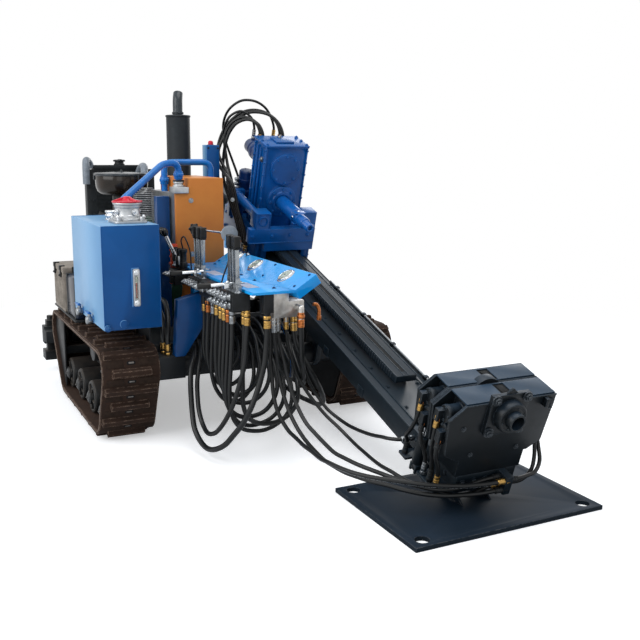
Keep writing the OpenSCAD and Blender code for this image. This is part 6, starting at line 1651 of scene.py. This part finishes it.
def addRollers(name, middle, side):
    parts, dark, hubs = [], [], []
    face = middle + side * 95
    wheels = [(i * run["pitch"] - run["rollersBack"], run["rollerZ"], 1.0) for i in range(4)]
    wheels += [(run["idlerX"], run["idlerZ"], 1.0), (-run["sprocket"], run["idlerZ"], 0.96)]
    for x, z, scale in wheels:
        out = (0, side, 0)
        rim = [(70, 0), (93, 0), (94, 4), (90, 12), (78, 14), (74, 10), (70, 0)]
        parts.append(lathe((x, face - side * 6, z), out, [(r * scale, h) for r, h in rim], 44, 1))
        dish = [(0, 0), (72, 0), (60, 5), (40, 9), (0, 10)]
        dark.append(lathe((x, face - side * 4, z), out, dish, 40))
        for k in range(5):
            rib = block((22, -4, -2), (72, 4, 12), 2)
            rib.data.transform(facing((x, face, z), out, 72 * k + x))
            parts.append(rib)
        hubs.append(lathe((x, face, z), out, [(0, 0), (36, 0), (36, 16), (30, 26), (18, 31), (0, 32)], 36, 1))
        hubs += boltRing((x, face + side * 18, z), out, 29, 4, 5, 4)
        hubs += boltsAt([(x, face + side * 31, z)], out, 8, 5)
    fit(name + "Dishes", dark, "deepShadow")
    fit(name + "DishRims", parts, "dishRim")
    fit(name + "Hubs", hubs, "hubPaint")


for name, middle, side in (("rightTrack", -705, -1), ("leftTrack", 705, 1)):
    addTrack(name, middle, nodes[name.replace("Track", "_track")]["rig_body"])
    addRollers(name, middle, side)
print("tracks set")


# Battery box: lid, ribbed sides, latches, terminals' cover; fuel tank's cap and straps
def addBoxes():
    rows, dark, straps = [], [], []
    left, right, low, high = -850, -600, 562, 830
    for x in range(-548, -256, 26):
        rows.append(block((x, left - 3, low + 20), (x + 9, left + 3, high - 42), 2))
    for y in range(left + 14, right - 60, 26):
        rows.append(block((-253, y, low + 20), (-247, y + 9, high - 42), 2))
    rows.append(block((-564, left - 5, high - 32), (-246, -606, high + 3), 6))
    rows.append(sweep([Vector((-540, -720, high + 14)), Vector((-540, -700, high + 22)),
                       Vector((-280, -700, high + 22)), Vector((-280, -720, high + 14))], 4, 10))
    fit("batteryRibs", rows, "boxPlastic")
    for x in (-510, -330):
        dark.append(block((x, left - 12, high - 62), (x + 34, left - 2, high + 6), 4))
        dark.append(block((x + 4, left - 15, high - 18), (x + 30, left + 20, high + 10), 4))
        dark += boltsAt([(x + 17, left - 12, high - 50)], (0, -1, 0), 7, 5)
    dark.append(block((-250, -800, high - 60), (-240, -760, high + 6), 3))
    fit("batteryLatches", dark, "gripPlastic")
    cap = lathe((-100, -720, 800), (0, 0, 1), [(0, -2), (44, -2), (44, 6), (34, 8), (34, 18), (46, 20), (48, 24),
                                               (48, 36), (44, 40),
                                              (0, 42)], 36, 1)
    straps.append(cap)
    for x in (-215, 0):
        straps.append(block((x, -842, 560), (x + 26, -838, 806), 1.5))
        straps.append(block((x, -842, 799), (x + 26, -600, 804), 1.5))
    fit("fuelTankParts", straps, "radiatorPaint")


addBoxes()
print("boxes set")

# Small parts: ball valves with their handles, copper elbow, red lamp, thin wiring, bits of the engine
ballValves = ((281, -860, 660), (533, -860, 656))


def addSmallParts():
    bodies, handles = [], []
    for x, y, z in ballValves:
        bodies.append(lathe((x, y + 14, z), (0, -1, 0),
                            [(0, 0), (17, 0), (17, 10), (21, 14), (22, 26), (21, 36), (16, 40), (0, 40)], 28, 0.8))
        bodies.append(lathe((x, y - 8, z + 18), (0, 0, 1), [(0, 0), (9, 0), (9, 14), (0, 14)], 20, 0.6))
        handles.append(block((x - 84, y - 17, z + 32), (x + 10, y + 1, z + 37), 1.5))
        handles += boltsAt([(x, y - 8, z + 37)], (0, 0, 1), 7, 5)
    fit("ballValveBodies", bodies, "whiteZinc")
    fit("ballValveHandles", handles, "pipeEnamel")
    elbow = smoothLine([(1290, 59, 796), (1290, 78, 792), (1290, 90, 772), (1290, 92, 740), (1290, 92, 714)], 5)
    fit("copperElbow", [sweep(elbow, 9, 20), rod((1290, 92, 736), (1290, 92, 716), 13, 1, 6)], "copper")
    lamp = [lathe((-257, 94, 1560), (0, 0, 1), [(0, 0), (16, 0), (16, 16), (12, 24), (0, 27)], 28, 0.8)]
    fit("statusLamp", lamp, "capRed")
    base = [lathe((-257, 94, 1552), (0, 0, 1), [(0, 0), (21, 0), (21, 10), (0, 10)], 28, 0.8)]
    base += boltsAt([(-215, y, z) for y in (64, 126) for z in (1360, 1540)], (1, 0, 0), 5, 4)
    fit("electricBoxBits", base, "gripPlastic")
    wires = [sweep(smoothLine([(1066, -285, 1064), (1075, -300, 990), (1062, -318, 930), (1052, -330, 880),
                               (1044, -338, 852)], 8),
                   4, 10),
             sweep(smoothLine([(397, -310, 990), (405, -322, 1040), (440, -318, 1062), (470, -300, 1010),
                               (478, -290, 882)], 8),
                   4, 10)]
    fit("thinWires", wires, "gripPlastic")


def addEngineBits():
    parts = [lathe((-330, -300, 900), (1, 0, 0), [(0, 0), (52, 0), (52, 8), (44, 12), (44, 90), (0, 96)], 32, 1.2),
             lathe((-560, -330, 1010), (0, -1, 0), [(0, 0), (46, 0), (46, 60), (40, 66), (0, 70)], 32, 1.2)]
    for x in range(-640, -300, 62):
        parts.append(block((x, -322, 1060), (x + 44, -270, 1096), 6))
        parts += boltsAt([(x + 22, -296, 1096)], (0, 0, 1), 9, 6)
    fit("engineBits", parts, "engineEnamel")
    lines = [sweep(smoothLine([(-640 + 62 * k, -324, 1080), (-636 + 62 * k, -352, 1110),
                               (-600 + 50 * k, -372, 1150 - 6 * k),
                               (-520 + 30 * k, -366, 1168)], 7), 4, 10) for k in range(5)]
    fit("fuelLines", lines, "whiteZinc")


addSmallParts()
addEngineBits()
print("small parts set")
bpy.context.scene.view_settings.view_transform = "Standard"
